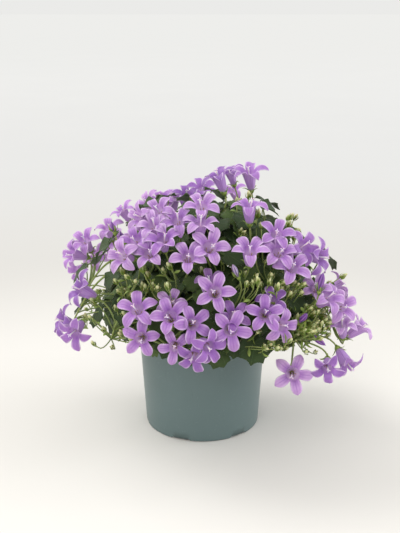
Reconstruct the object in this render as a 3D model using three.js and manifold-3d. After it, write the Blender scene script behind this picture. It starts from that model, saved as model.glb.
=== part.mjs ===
// A potted dalmatian bellflower: a mound of violet bells over toothed leaves, in a round plastic pot.
// Millimetres, +Z up. The origin is the middle of the pot's foot, and the front of the plant faces -Y.

import * as THREE from 'three';
import { mergeVertices } from 'three/addons/utils/BufferGeometryUtils.js';
import Module from 'manifold-3d';

const wasm = await Module();
wasm.setup();

// Pot: a tapered shell with a plain rolled rim and drainage notches that run in from its foot
const POT_HEIGHT = 96;
const FOOT_RADIUS = 47.5;
const NECK_RADIUS = 53;
const RIM_RADIUS = 54.5;
const RIM_DROP = 7;
const WALL = 1.8;
const FLOOR_THICKNESS = 3;
const POT_SIDES = 28;
const NOTCHES = 6;
const NOTCH_FIRST_DEGREES = 38;
const NOTCH_WIDTH = 15;
const NOTCH_HEIGHT = 1.6;
const NOTCH_REACH = 12;

// Soil: one plug that fills the pot, with a plain hole for every stem
const SOIL_TOP = 87;
const SOIL_HEAP = 3;
const GAP = 0.3;
const SMALLEST_EDGE = 0.05;
const HOLE_RADIUS = 2.5;
const HOLE_DEPTH = 9;

// Canopy: the dome that the open flowers stand on
const DOME_CENTRE = new THREE.Vector3(4, 0, 92);
const DOME_HALF = new THREE.Vector3(130, 108, 122);

// View that the photographed flowers are placed from: the eye's place, its tilt and its focal length
const EYE = new THREE.Vector3(-2, -677, 336);
const TILT_DEGREES = 16.6;
const FOCAL_PIXELS = 863;
const MIDDLE_ACROSS = 200;
const MIDDLE_DOWN = 266.5;

// Flower: a tube that widens to a throat, with five pointed lobes
const TUBE_LENGTH = 14;
const TUBE_FOOT_RADIUS = 2.4;
const THROAT_RADIUS = 5.3;
const THROAT_DEPTH = 4;
const LOBE_WIDEST = 9.4;
const LOBE_HALF_WIDTH = 4.2;
const LOBE_RISE = 2.8;
const LOBE_TIP = 13.4;
const LOBE_TIP_RISE = 2;
const PETAL_THICKNESS = 0.75;
const PETAL_LEAN = 0.3;
const LOBES = 5;
const REACH_OF_TWO = 45;
const LEAST_CROSSING = 1.2;

// Calyx: a small star behind each flower
const CALYX_DEPTH = 2.2;
const SEPAL_REACH = 5.4;
const SEPAL_DROP = 0.3;
const CALYX_NOTCH = 2;
const CALYX_SEAT = 0.5;
const CALYX_RING_RADIUS = 0.65;

// Leafy stems: one in each sector round the pot, and one up the middle
const SECTORS = 12;
const CROWN_RADIUS = 31;
const STEM_RADIUS = 1.5;
const BUD_LENGTH = 7.5;
const BUD_REACHES = [9, 14];
const BUD_LEAVES_AT = 0.6;
const BUD_LEANS_UP = 0.5;
const BUD_RADIUS = 2;
const BUD_SWELL = 0.55;
const BUD_STALK_RADIUS = 0.5;
const STALKS_PER_BUD = 8;
const ELBOW = 14;
const ELBOW_SHARE = 0.45;
const AIM_BEHIND = 8;
const AIM_BELOW = 14;
const STARTS_TRIED = 12;
const ELBOW_CLEARANCE = 1.2;
const ROOT_SKIP = 3.5;
const STALK_BENDS = [[0, 0], [3, 0], [-3, 0], [0, 3], [0, -3], [7, 0], [-7, 0], [0, 7], [0, -7]];
const BRANCH_RADIUS = 0.8;
const PETIOLE_RADIUS = 0.55;
const SECTOR_ROOT_RADIUS = 38;
const LEAF_TEETH = 4;
const LEAF_RADII = [9.5, 12.5];
const LEAF_SHARES = [0.8, 0.88];
const LEAF_SWINGS = [0.15, 0.5];
const LEAF_TWIST = 0.7;
const LEAF_LEANS = [0.3, 0.8];
const LEVEL_SPREAD = 7;
const LEAF_SPACING = 0.8;
const LEAF_SEAT = 0.18;
const LEAF_THICKNESS = 0.75;
const LEAF_NOTCH = 0.4;
const LEAF_SPREAD_DEGREES = 158;
const LEAF_SINUS = 0.84;
const LEAF_FOLD = 0.16;
const LEAF_LEVELS = [8, 24, 43, 62];
const CROWN_LEAF_LEVELS = [64, 74];
const LEAST_LEAF_SHARE = 0.6;
const LEAF_SHARE_STEP = 0.04;
const SHORTEST_PETIOLE = 5;
const PETIOLE_RISE = 0.3;

// Room kept round the flowers and the pot's rim while the leaves are laid
const FLOWER_CLEARANCE = 1.2;
const TUBE_FLARE = 0.3;
const POT_CLEARANCE = 4;

const SEED = 2024;

// The same simple draw wherever a random value is needed, between low and high
let drawState = SEED;
function draw(low, high) {
  drawState = (Math.imul(drawState, 1664525) + 1013904223) >>> 0;
  return low + (high - low) * (drawState / 4294967296);
}

const radians = THREE.MathUtils.degToRad;

// Flowers that show in the photograph: where the throat is, across and down in its pixels, and how far
// the flower leans to the right and up as seen there, from -1 to 1. Those on the far side are marked.
const SEEN = {
  crown: [
    { across: 218, down: 176, right: -0.35, up: 0.88 },
    { across: 230, down: 172, right: -0.3, up: 0.85, size: 0.85, far: true },
    { across: 249, down: 173, right: -0.15, up: 0.85, size: 1.1 },
    { across: 249, down: 206, right: -0.05, up: 0.93 },
    { across: 233, down: 190, right: -0.3, up: 0.7, size: 0.85, far: true },
  ],
  ridge: [
    { across: 147, down: 203, right: -0.6, up: 0.55, far: true },
    { across: 161, down: 199, right: -0.2, up: 0.7, size: 0.95, far: true },
    { across: 174, down: 198, right: 0, up: 0.75, far: true },
    { across: 187, down: 194, right: 0.1, up: 0.75, far: true },
    { across: 203, down: 188, right: 0.2, up: 0.7, far: true },
    { across: 202, down: 206, right: 0, up: 0.65 },
    { across: 158, down: 210, right: -0.3, up: 0.55, size: 0.9 },
  ],
  brow: [
    { across: 178, down: 219, right: -0.05, up: 0.6 },
    { across: 201, down: 223, right: 0.1, up: 0.82 },
    { across: 153, down: 225, right: -0.3, up: 0.6, size: 0.95 },
    { across: 163, down: 241, right: -0.1, up: 0.55 },
    { across: 149, down: 253, right: -0.2, up: 0.4, size: 0.95 },
    { across: 188, down: 257, right: 0, up: 0.45 },
    { across: 210, down: 247, right: 0.1, up: 0.35, size: 1.05 },
    { across: 137, down: 218, right: -0.8, up: 0.2, size: 0.9, ahead: -6 },
    { across: 135, down: 240, right: -0.3, up: 0.6, size: 0.95 },
    { across: 121, down: 257, right: -0.5, up: 0.15, ahead: 4 },
  ],
  right_brow: [
    { across: 250, down: 251, right: 0, up: 0.7, size: 1.05 },
    { across: 277, down: 234, right: 0.1, up: 0.6 },
    { across: 279, down: 252, right: 0.1, up: 0.45 },
    { across: 292, down: 267, right: 0.1, up: 0.5, size: 1.05 },
    { across: 320, down: 257, right: 0.85, up: -0.1, size: 1.08 },
    { across: 303, down: 246, right: 0.6, up: 0.3 },
  ],
  front: [
    { across: 215, down: 292, right: 0, up: 0.2, size: 1.05 },
    { across: 231, down: 330, right: 0.05, up: 0, size: 1.08 },
    { across: 265, down: 314, right: -0.05, up: 0.15 },
    { across: 282, down: 326, right: 0.42, up: -0.05 },
    { across: 234, down: 316, right: 0.1, up: 0.35, size: 0.9, ahead: -8 },
    { across: 210, down: 281, right: -0.15, up: 0.65, size: 0.8, ahead: -18 },
    { across: 273, down: 298, right: 0.1, up: 0.5, size: 0.85, ahead: -7 },
  ],
  left_front: [
    { across: 137, down: 309, right: -0.1, up: 0.5, size: 1.05 },
    { across: 170, down: 316, right: -0.05, up: 0.3, size: 1.05 },
    { across: 193, down: 324, right: 0.15, up: 0.1 },
    { across: 141, down: 338, right: -0.05, up: 0.05 },
    { across: 175, down: 347, right: 0, up: -0.1, size: 0.9 },
    { across: 194, down: 357, right: -0.1, up: -0.45, size: 0.95 },
    { across: 209, down: 347, right: 0.45, up: -0.3, size: 0.95, ahead: 5 },
    { across: 171, down: 303, right: 0, up: 0.35, size: 0.85, ahead: -12 },
  ],
  right_edge: [
    { across: 329, down: 297, right: 0.5, up: 0.5 },
    { across: 343, down: 307, right: 0.3, up: 0.3 },
    { across: 342, down: 325, right: -0.15, up: 0.85, size: 0.9, ahead: -12 },
    { across: 361, down: 327, right: 0.75, up: 0.6 },
    { across: 347, down: 365, right: 0.4, up: -0.8, size: 1.05, ahead: 14 },
    { across: 327, down: 369, right: -0.15, up: -0.5, size: 0.9, ahead: 20 },
    { across: 293, down: 374, right: -0.05, up: 0.05, size: 1.12, ahead: -22 },
    { across: 316, down: 288, right: -0.1, up: 0.5, size: 0.85, ahead: -8 },
  ],
  left_edge: [
    { across: 62, down: 321, right: -0.8, up: 0.35 },
    { across: 74, down: 333, right: -0.35, up: -0.55, ahead: 8 },
    { across: 80, down: 289, right: -0.75, up: 0.45, size: 1.08 },
    { across: 73, down: 254, right: -0.8, up: 0.2, far: true },
    { across: 86, down: 239, right: -0.3, up: 0.6, far: true },
    { across: 109, down: 228, right: -0.15, up: 0.75, size: 0.95, ahead: 5, far: true },
    { across: 123, down: 211, right: -0.5, up: 0.75, size: 0.85, far: true },
    { across: 97, down: 256, right: -0.3, up: 0.1, far: true },
    { across: 117, down: 241, right: -0.2, up: 0.5, far: true },
    { across: 77, down: 271, right: -0.55, up: -0.4, size: 0.85, far: true },
  ],
};

// Hidden side: sprays of two or three flowers spread over the back of the dome
const BACK_TRIES = 30;
const BACK_HIGHEST = 0.98;
const BACK_FALL = 1.22;
const BACK_SHARES = [0.86, 0.94];
const BACK_SIZES = [0.9, 1.02];
const SHARE_OF_PAIRS = 0.6;
const BACK_CLEARANCE = 53;
const BACK_STARTS = 8;
const SPRAY_OFFSET = 10.5;
const SPRAY_OPENING = 0.28;
const OUTLINE_ACROSS = 205;
const OUTLINE_DOWN = 330;
const OUTLINE_HALF_WIDTH = 142;
const OUTLINE_HALF_HEIGHT = 132;
const OUTLINE_PULL = 0.16;
const GOLDEN_ANGLE = Math.PI * (3 - Math.sqrt(5));

function vector(x, y, z) {
  return new THREE.Vector3(x, y, z);
}

function along(start, direction, distance) {
  return start.clone().addScaledVector(direction, distance);
}

// The three directions of the photographed view
function viewDirections() {
  const tilt = radians(TILT_DEGREES);
  return {
    right: vector(1, 0, 0),
    up: vector(0, Math.sin(tilt), Math.cos(tilt)),
    ahead: vector(0, Math.cos(tilt), -Math.sin(tilt)),
  };
}

// Where the line of sight through a pixel meets the dome: its near side, its far side, or, where it
// passes beside the dome, its nearest point to it
function onDome(seen) {
  const view = viewDirections();
  const line = view.ahead.clone();
  line.addScaledVector(view.right, (seen.across - MIDDLE_ACROSS) / FOCAL_PIXELS);
  line.addScaledVector(view.up, (MIDDLE_DOWN - seen.down) / FOCAL_PIXELS);
  const from = EYE.clone().sub(DOME_CENTRE).divide(DOME_HALF);
  const toward = line.clone().divide(DOME_HALF);
  const square = toward.dot(toward);
  const middle = -from.dot(toward) / square;
  const reach = middle * middle - (from.dot(from) - 1) / square;
  const half = reach > 0 ? Math.sqrt(reach) : 0;
  const distance = middle + (seen.far ? half : -half) - (seen.ahead ?? 0);
  return along(EYE, line, distance);
}

// A flower is its throat, the way it faces, its size and its turn about its own axis
function makeFlower(throat, axis, size, spin) {
  return { throat, axis, size, spin, base: along(throat, axis, -TUBE_LENGTH * size) };
}

function seenFlowers() {
  const view = viewDirections();
  return Object.values(SEEN).flat().map((seen) => {
    const flat = seen.right * seen.right + seen.up * seen.up;
    const axis = vector(0, 0, 0);
    axis.addScaledVector(view.right, seen.right);
    axis.addScaledVector(view.up, seen.up);
    axis.addScaledVector(view.ahead, -Math.sqrt(Math.max(0, 1 - flat)));
    return makeFlower(onDome(seen), axis.normalize(), seen.size ?? 1, draw(0, 2 * Math.PI));
  });
}

// Outward direction of the dome at one of its points
function domeNormal(point) {
  return point.clone().sub(DOME_CENTRE).divide(DOME_HALF).divide(DOME_HALF).normalize();
}

// True where a point shows outside the plant's outline in the photograph, which is near an ellipse
function outsideOutline(point) {
  const view = viewDirections();
  const offset = point.clone().sub(EYE);
  const scale = FOCAL_PIXELS / offset.dot(view.ahead);
  const across = MIDDLE_ACROSS + offset.dot(view.right) * scale - OUTLINE_ACROSS;
  const down = MIDDLE_DOWN - offset.dot(view.up) * scale - OUTLINE_DOWN;
  return (across / OUTLINE_HALF_WIDTH) ** 2 + (down / OUTLINE_HALF_HEIGHT) ** 2 > 1;
}

function backFlowers(flowers) {
  const added = [];
  const centres = flowers.map((flower) => flower.throat);
  for (let i = 0; i < BACK_TRIES; i += 1) {
    const lift = Math.asin(BACK_HIGHEST - BACK_FALL * ((i + 0.5) / BACK_TRIES));
    const turn = i * GOLDEN_ANGLE;
    const spread = draw(...BACK_SHARES);
    const count = draw(0, 1) < SHARE_OF_PAIRS ? 2 : 3;
    const start = draw(0, 2 * Math.PI);
    const direction = vector(Math.cos(lift) * Math.cos(turn), Math.cos(lift) * Math.sin(turn), Math.sin(lift));
    const centre = direction.clone().multiply(DOME_HALF).multiplyScalar(spread).add(DOME_CENTRE);
    if (outsideOutline(centre)) {
      centre.lerp(DOME_CENTRE, OUTLINE_PULL);
    }
    const clear = centres.every((other) => other.distanceTo(centre) > BACK_CLEARANCE);
    if (centre.y < BACK_STARTS || !clear) {
      continue;
    }
    centres.push(centre);
    const normal = domeNormal(centre);
    const side = vector(0, 0, 1).cross(normal).normalize();
    const rise = normal.clone().cross(side);
    for (let k = 0; k < count; k += 1) {
      const angle = start + (k * 2 * Math.PI) / count;
      const lean = side.clone().multiplyScalar(Math.cos(angle)).addScaledVector(rise, Math.sin(angle));
      const throat = along(centre, lean, SPRAY_OFFSET);
      const axis = along(normal, lean, SPRAY_OPENING).normalize();
      added.push(makeFlower(throat, axis, draw(...BACK_SIZES), draw(0, 2 * Math.PI)));
    }
  }
  return added;
}

// A closed solid from its points and its triangles, anticlockwise as seen from outside
function solid(points, faces) {
  const vertProperties = new Float32Array(points.flatMap((point) => point.toArray()));
  const triVerts = new Uint32Array(faces.flat());
  return new wasm.Manifold(new wasm.Mesh({ numProp: 3, vertProperties, triVerts }));
}

// A closed solid from a three.js geometry
function solidFrom(geometry) {
  const bare = geometry.clone();
  bare.deleteAttribute('normal');
  bare.deleteAttribute('uv');
  const merged = mergeVertices(bare, 1e-4);
  const vertProperties = new Float32Array(merged.attributes.position.array);
  const triVerts = new Uint32Array(merged.index.array);
  return new wasm.Manifold(new wasm.Mesh({ numProp: 3, vertProperties, triVerts }));
}

// Two directions square to a third, for placing a round thing on it
function acrossDirections(axis) {
  const helper = Math.abs(axis.z) < 0.9 ? vector(0, 0, 1) : vector(1, 0, 0);
  const first = helper.cross(axis).normalize();
  return { first, second: axis.clone().cross(first) };
}

// Puts points given as distance along, distance aside and height on a flower's axis in space
function placer(origin, axis, size, spin) {
  const { first, second } = acrossDirections(axis);
  return (angle, out, aside, height) => {
    const turned = spin + angle;
    const x = out * Math.cos(turned) - aside * Math.sin(turned);
    const y = out * Math.sin(turned) + aside * Math.cos(turned);
    return origin.clone()
      .addScaledVector(first, x * size)
      .addScaledVector(second, y * size)
      .addScaledVector(axis, height * size);
  };
}

// One open flower: an outer skin of tube and lobes, and an inner skin that closes in the tube's foot.
// The lobes meet at the sinuses round the throat, and each is drawn by its sinuses, its sides and its tip.
function flowerSolid(flower) {
  const place = placer(flower.base, flower.axis, flower.size, flower.spin);
  const step = (2 * Math.PI) / LOBES;
  const points = [];
  const faces = [];
  const add = (angle, out, aside, height) => points.push(place(angle, out, aside, height)) - 1;
  const pair = (angle, out, aside, height) => [
    add(angle, out, aside, height),
    add(angle, out - PETAL_LEAN, aside, height + PETAL_THICKNESS),
  ];
  const lobes = Array.from({ length: LOBES }, (_, i) => ({
    foot: add(i * step, TUBE_FOOT_RADIUS, 0, 0),
    left: pair(i * step, LOBE_WIDEST, -LOBE_HALF_WIDTH, TUBE_LENGTH + LOBE_RISE),
    tip: pair(i * step, LOBE_TIP, 0, TUBE_LENGTH + LOBE_TIP_RISE),
    right: pair(i * step, LOBE_WIDEST, LOBE_HALF_WIDTH, TUBE_LENGTH + LOBE_RISE),
    sinus: pair((i + 0.5) * step, THROAT_RADIUS, 0, TUBE_LENGTH),
  }));
  const heart = add(0, 0, 0, THROAT_DEPTH);
  const [first, second, third, fourth, fifth] = lobes.map((lobe) => lobe.foot);
  faces.push([first, third, second], [first, fourth, third], [first, fifth, fourth]);
  lobes.forEach((lobe, i) => {
    const before = lobes[(i + LOBES - 1) % LOBES].sinus;
    const after = lobes[(i + 1) % LOBES].foot;
    const edge = [lobe.sinus, lobe.right, lobe.tip, lobe.left, before];
    faces.push([lobe.foot, after, lobe.sinus[0]], [lobe.foot, lobe.sinus[0], before[0]]);
    faces.push([heart, before[1], lobe.sinus[1]]);
    for (const [one, two] of [[lobe.left, before], [before, lobe.sinus], [lobe.sinus, lobe.right]]) {
      faces.push([lobe.tip[0], one[0], two[0]], [lobe.tip[1], two[1], one[1]]);
    }
    for (let k = 0; k < edge.length - 1; k += 1) {
      faces.push([edge[k + 1][0], edge[k][0], edge[k][1]], [edge[k + 1][0], edge[k][1], edge[k + 1][1]]);
    }
  });
  return solid(points, faces);
}

// Moves a flower may make so that its petals cross its neighbour's properly or stay clear of them:
// towards the neighbour, along its own axis, away or aside, each with its lobes turned a little too
function settlingMoves(flower, neighbour) {
  const toward = neighbour ? neighbour.throat.clone().sub(flower.throat).normalize() : vector(0, 0, 0);
  const { first, second } = acrossDirections(flower.axis);
  const by = (direction, steps) => steps.map((step) => ({ offset: direction.clone().multiplyScalar(step) }));
  const moves = [
    ...by(toward, [0, 1, 2]).map((move) => ({ ...move, joins: true })),
    ...by(flower.axis, [0, 1.5, -1.5, 3, -3, 4.5, -4.5, 6]),
    ...by(toward, [-2, -4, -6]),
    ...by(first, [3, -3, 6, -6]),
    ...by(second, [3, -3, 6, -6]),
  ];
  return moves.flatMap((move) => [0, 24, 48].map((turn) => ({ ...move, turn: radians(turn) })));
}

// A flower settled among those placed before it, with the ones that it is fused to
function settled(flower, placed) {
  const near = placed.filter((other) => other.flower.throat.distanceTo(flower.throat) < REACH_OF_TWO);
  near.sort((a, b) => a.flower.throat.distanceTo(flower.throat) - b.flower.throat.distanceTo(flower.throat));
  for (const move of settlingMoves(flower, near[0]?.flower)) {
    const throat = flower.throat.clone().add(move.offset);
    const moved = makeFlower(throat, flower.axis, flower.size, flower.spin + move.turn);
    const body = flowerSolid(moved);
    const crossings = near.map((other) => body.intersect(other.body).volume());
    const grazes = near.some((other, i) => crossings[i] < LEAST_CROSSING
      && (crossings[i] > 0 || body.minGap(other.body, 1) < 2 * GAP));
    const joined = near.filter((_, i) => crossings[i] >= LEAST_CROSSING);
    if (!grazes && (joined.length > 0 || !move.joins)) {
      return { flower: moved, body, joined };
    }
  }
  return null;
}

function settledFlowers(flowers) {
  const placed = [];
  for (const flower of flowers) {
    const item = settled(flower, placed);
    if (item) {
      placed.push(item);
    }
  }
  return placed;
}

// Fuses the flowers whose petals cross, each group to one body
function flowerClusters(placed) {
  const group = placed.map((_, i) => i);
  const root = (i) => (group[i] === i ? i : root(group[i]));
  placed.forEach((item, i) => {
    for (const other of item.joined.filter((one) => placed.includes(one))) {
      group[root(i)] = root(placed.indexOf(other));
    }
  });
  const clusters = new Map();
  placed.forEach((item, i) => {
    clusters.set(root(i), [...(clusters.get(root(i)) ?? []), item.body]);
  });
  return [...clusters.values()].map(fuse);
}

// Solids already in place. Each belongs to a sector's stem, or to none where it is a flower or the pot.
const taken = [];

function take(body, sector) {
  taken.push({ body, sector, box: body.boundingBox() });
}

// True where a solid keeps its gap to everything in place outside its own sector's stem
function isClear(body, sector) {
  const box = body.boundingBox();
  return taken.every((other) => {
    const apart = [0, 1, 2].some((k) => box.min[k] - GAP > other.box.max[k] || other.box.min[k] - GAP > box.max[k]);
    return apart || (sector !== null && other.sector === sector) || body.minGap(other.body, 1) >= GAP;
  });
}

// One closed body from solids that cross. A loose scrap, or the skin of a sealed hollow, is dropped.
function fuse(bodies) {
  const pieces = wasm.Manifold.union(bodies).simplify(SMALLEST_EDGE).decompose();
  pieces.sort((a, b) => b.volume() - a.volume());
  return pieces[0];
}

// Joins two rings of points, which may differ in number, by triangles that step round both
function stitch(faces, low, high) {
  let i = 0;
  let j = 0;
  const lowCount = low.length > 1 ? low.length : 0;
  const highCount = high.length > 1 ? high.length : 0;
  while (i < lowCount || j < highCount) {
    const a = low[i % low.length];
    const b = high[j % high.length];
    if (j >= highCount || (i < lowCount && (i + 1) / lowCount <= (j + 1) / highCount)) {
      faces.push([a, low[(i + 1) % low.length], b]);
      i += 1;
    } else {
      faces.push([a, high[(j + 1) % high.length], b]);
      j += 1;
    }
  }
}

// A closed solid through rings of points in space, capped at both ends
function ringsSolid(rings) {
  const faces = [];
  let count = 0;
  const numbered = rings.map((ring) => ring.map(() => count++));
  const low = numbered[0];
  const high = numbered[numbered.length - 1];
  low.slice(1, -1).forEach((_, j) => faces.push([low[0], low[j + 2], low[j + 1]]));
  high.slice(1, -1).forEach((_, j) => faces.push([high[0], high[j + 1], high[j + 2]]));
  numbered.slice(1).forEach((ring, i) => stitch(faces, numbered[i], ring));
  return solid(rings.flat(), faces);
}

// A solid carried along a path. Each ring lists the distances of its points from the path and their
// heights along it; a ring of one point closes the end.
function loftSolid(path, sections, lastAhead = null) {
  let normal = null;
  const rings = path.flatMap((point, i) => {
    const before = path[Math.max(0, i - 1)];
    const after = path[Math.min(path.length - 1, i + 1)];
    const chord = after.clone().sub(before).normalize();
    const ahead = i === path.length - 1 && lastAhead ? lastAhead : chord;
    normal = normal ?? acrossDirections(ahead).first;
    normal = along(normal, ahead, -normal.dot(ahead)).normalize();
    const side = ahead.clone().cross(normal);
    return sections[i].map((ring) => ring.map(([out, height], j) => {
      const angle = (j / ring.length) * 2 * Math.PI;
      return along(point, ahead, height)
        .addScaledVector(normal, out * Math.cos(angle))
        .addScaledVector(side, out * Math.sin(angle));
    }));
  });
  return ringsSolid(rings);
}

function roundRing(radius, sides, height = 0) {
  return Array.from({ length: sides }, () => [radius, height]);
}

function rodSolid(path, radii, sides) {
  return loftSolid(path, radii.map((radius) => [roundRing(radius, sides)]));
}

// Flower stalk and its calyx in one: the stalk opens into a shallow five-pointed star
function stalkSolid(path, flower) {
  const size = flower.size;
  const star = Array.from({ length: 2 * LOBES }, (_, i) => (
    i % 2 === 0 ? [SEPAL_REACH * size, -SEPAL_DROP * size] : [CALYX_NOTCH * size, 0]
  ));
  const last = path.length - 1;
  const rings = path.map(() => [roundRing(BRANCH_RADIUS, 3)]);
  rings[last] = [roundRing(CALYX_RING_RADIUS, 3, -CALYX_DEPTH)];
  rings[last].push(star, [[0, 0]]);
  return loftSolid(path, rings, flower.axis);
}

function calyxCentre(flower) {
  return along(flower.base, flower.axis, -CALYX_SEAT * flower.size);
}

// Green bud: a short stalk that swells to a club with a pointed end
function budSolid(start, base, axis, length) {
  const path = [start, base, along(base, axis, BUD_SWELL * length), along(base, axis, length)];
  const stalk = [roundRing(BUD_STALK_RADIUS, 3)];
  return loftSolid(path, [stalk, stalk, [roundRing(BUD_RADIUS, 4)], [[[0, 0]]]]);
}

// Leaf outline, from the notch where the petiole joins it, round its teeth and back. A tooth is its tip.
function leafOutline(leaf) {
  const outline = [along(leaf.centre, leaf.tip, -LEAF_NOTCH * leaf.radius)];
  const side = LEAF_TEETH - 1;
  for (let i = -side; i <= side; i += 1) {
    const angle = radians((LEAF_SPREAD_DEGREES * i) / side);
    const tooth = i % 2 === 0 ? 1 : LEAF_SINUS;
    const reach = leaf.radius * tooth;
    const fold = LEAF_FOLD * reach * Math.abs(Math.sin(angle));
    outline.push(leaf.centre.clone()
      .addScaledVector(leaf.tip, reach * Math.cos(angle))
      .addScaledVector(leaf.side, reach * Math.sin(angle))
      .addScaledVector(leaf.normal, fold));
  }
  return outline;
}

// Leaf with its petiole: a thin stalk that opens into the blade's lower skin, and an upper skin alike
function leafSolid(leaf) {
  const low = leafOutline(leaf);
  const high = low.map((point) => along(point, leaf.normal, LEAF_THICKNESS));
  const joint = along(leaf.centre, leaf.tip, -LEAF_SEAT * leaf.radius);
  const ahead = joint.clone().sub(leaf.from).normalize();
  const spokes = [0, 1, 2].map((i) => {
    const angle = Math.PI * (1 + (2 * i) / 3);
    return leaf.tip.clone().multiplyScalar(Math.cos(angle)).addScaledVector(leaf.side, Math.sin(angle));
  });
  const seat = spokes.map((spoke) => along(joint, spoke, PETIOLE_RADIUS));
  const start = spokes.map((spoke) => {
    const square = along(spoke, ahead, -spoke.dot(ahead)).normalize();
    return along(leaf.from, square, PETIOLE_RADIUS);
  });
  return ringsSolid([start, seat, low, high]);
}

// True where a point is inside a flower's outline, grown by a clearance
function insideFlower(point, flower) {
  const offset = point.clone().sub(flower.base);
  const height = offset.dot(flower.axis) / flower.size;
  const out = along(offset, flower.axis, -height * flower.size).length() / flower.size;
  if (height < -FLOWER_CLEARANCE || height > TUBE_LENGTH + LOBE_RISE + 2 * FLOWER_CLEARANCE) {
    return false;
  }
  const besideTube = height < TUBE_LENGTH - FLOWER_CLEARANCE;
  const reach = besideTube ? TUBE_FOOT_RADIUS + TUBE_FLARE * height : LOBE_TIP;
  return out < reach + FLOWER_CLEARANCE;
}

function hitsFlower(points, flowers) {
  return flowers.some((flower) => points.some((point) => insideFlower(point, flower)));
}

// True where a point is too near the pot's rim or in the soil
function hitsPot(point) {
  const out = Math.hypot(point.x, point.y);
  const overSoil = out < NECK_RADIUS - POT_CLEARANCE;
  const lowest = overSoil ? SOIL_TOP + SOIL_HEAP + 1 : POT_HEIGHT + POT_CLEARANCE / 2;
  return out < RIM_RADIUS + POT_CLEARANCE / 2 && point.z < lowest;
}

// Sector of the plan that a point is in; the middle one is -1
function sectorOf(point) {
  if (Math.hypot(point.x, point.y) < CROWN_RADIUS) {
    return -1;
  }
  const turn = Math.atan2(point.y, point.x) / (2 * Math.PI);
  return Math.floor((turn - Math.floor(turn)) * SECTORS) % SECTORS;
}

function sectorMiddle(sector) {
  return ((sector + 0.5) * 2 * Math.PI) / SECTORS;
}

// Bends a point clear of the sector's borders
function keepInSector(point, sector, clearance) {
  const out = Math.hypot(point.x, point.y);
  if (sector < 0) {
    const limit = CROWN_RADIUS - clearance;
    const share = out > limit ? limit / out : 1;
    return vector(point.x * share, point.y * share, point.z);
  }
  const reach = Math.max(out, CROWN_RADIUS + 1 + clearance);
  const middle = sectorMiddle(sector);
  let turn = Math.atan2(point.y, point.x) - middle;
  turn -= 2 * Math.PI * Math.round(turn / (2 * Math.PI));
  const limit = Math.max(0, Math.PI / SECTORS - Math.asin(Math.min(1, clearance / reach)));
  const kept = middle + THREE.MathUtils.clamp(turn, -limit, limit);
  return vector(reach * Math.cos(kept), reach * Math.sin(kept), point.z);
}

function cubic(a, b, c, d, count) {
  const curve = new THREE.CubicBezierCurve3(a, b, c, d);
  return curve.getPoints(count);
}

// Main stem of a sector: up out of the soil, then arching out and down under the dome
function mainStem(sector) {
  const root = SOIL_TOP - HOLE_DEPTH + GAP;
  if (sector < 0) {
    return [vector(0, 0, root), vector(0, 0, 110), vector(1.5, -1, 140), vector(0, 0, 165)];
  }
  const turn = sectorMiddle(sector);
  const radial = (out, z) => vector(out * Math.cos(turn), out * Math.sin(turn), z);
  const reach = DOME_HALF.x * DOME_HALF.y
    / Math.hypot(DOME_HALF.y * Math.cos(turn), DOME_HALF.x * Math.sin(turn));
  const low = radial(SECTOR_ROOT_RADIUS, root);
  const curve = cubic(radial(SECTOR_ROOT_RADIUS, SOIL_TOP + 5), radial(SECTOR_ROOT_RADIUS + 8, 142),
    radial(0.6 * reach, 158), radial(0.83 * reach, 98), 4);
  return [low, ...curve];
}

// Places along the main stem where stalks and petioles can leave it
function startsAlong(skeleton) {
  return skeleton.slice(2).flatMap((point, i) => (
    [0, 0.25, 0.5, 0.75].map((part) => skeleton[i + 1].clone().lerp(point, part))
  ));
}

// Stalk from the main stem to a calyx, which it reaches along the flower's axis after an elbow.
// It is tried straight and bent to either side, from nearer and farther places, until all of it but its
// root is clear.
function clearStalk(starts, flower, sector) {
  const end = calyxCentre(flower);
  const aim = along(end, flower.axis, -AIM_BEHIND).add(vector(0, 0, -AIM_BELOW));
  const sorted = starts.slice().sort((a, b) => a.distanceTo(aim) - b.distanceTo(aim));
  const { first, second } = acrossDirections(flower.axis);
  for (const start of sorted.slice(0, STARTS_TRIED)) {
    for (const [one, two] of STALK_BENDS) {
      const elbow = along(end, flower.axis, -Math.min(ELBOW, ELBOW_SHARE * start.distanceTo(end)))
        .addScaledVector(first, one).addScaledVector(second, two);
      const kept = keepInSector(elbow, sector, ELBOW_CLEARANCE);
      const direction = kept.clone().sub(start).normalize();
      if (isClear(stalkSolid([along(start, direction, ROOT_SKIP), kept, end], flower), null)) {
        starts.splice(starts.indexOf(start), 1);
        return { path: [start, kept, end], body: stalkSolid([start, kept, end], flower) };
      }
    }
  }
  return null;
}

// Leaves of a sector, from low to high, on either side of its middle in turn
function sectorLeaves(sector, spots, flowers) {
  const leaves = [];
  const levels = sector < 0 ? CROWN_LEAF_LEVELS : LEAF_LEVELS;
  const width = sector < 0 ? 2 * Math.PI : (2 * Math.PI) / SECTORS;
  levels.forEach((level, i) => {
    const swing = draw(...LEAF_SWINGS) * (i % 2 === 0 ? 1 : -1);
    const turn = sectorMiddle(sector) + swing * width;
    const lift = radians(level + draw(-LEVEL_SPREAD, LEVEL_SPREAD));
    const out = vector(Math.cos(lift) * Math.cos(turn), Math.cos(lift) * Math.sin(turn), Math.sin(lift));
    const radius = draw(...LEAF_RADII);
    const twist = draw(-LEAF_TWIST, LEAF_TWIST);
    const wanted = { out, radius, twist, leanUp: draw(...LEAF_LEANS) };
    const leaf = clearLeaf(wanted, draw(...LEAF_SHARES), sector, spots, flowers, leaves);
    if (leaf) {
      leaves.push(leaf);
    }
  });
  return leaves;
}

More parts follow.
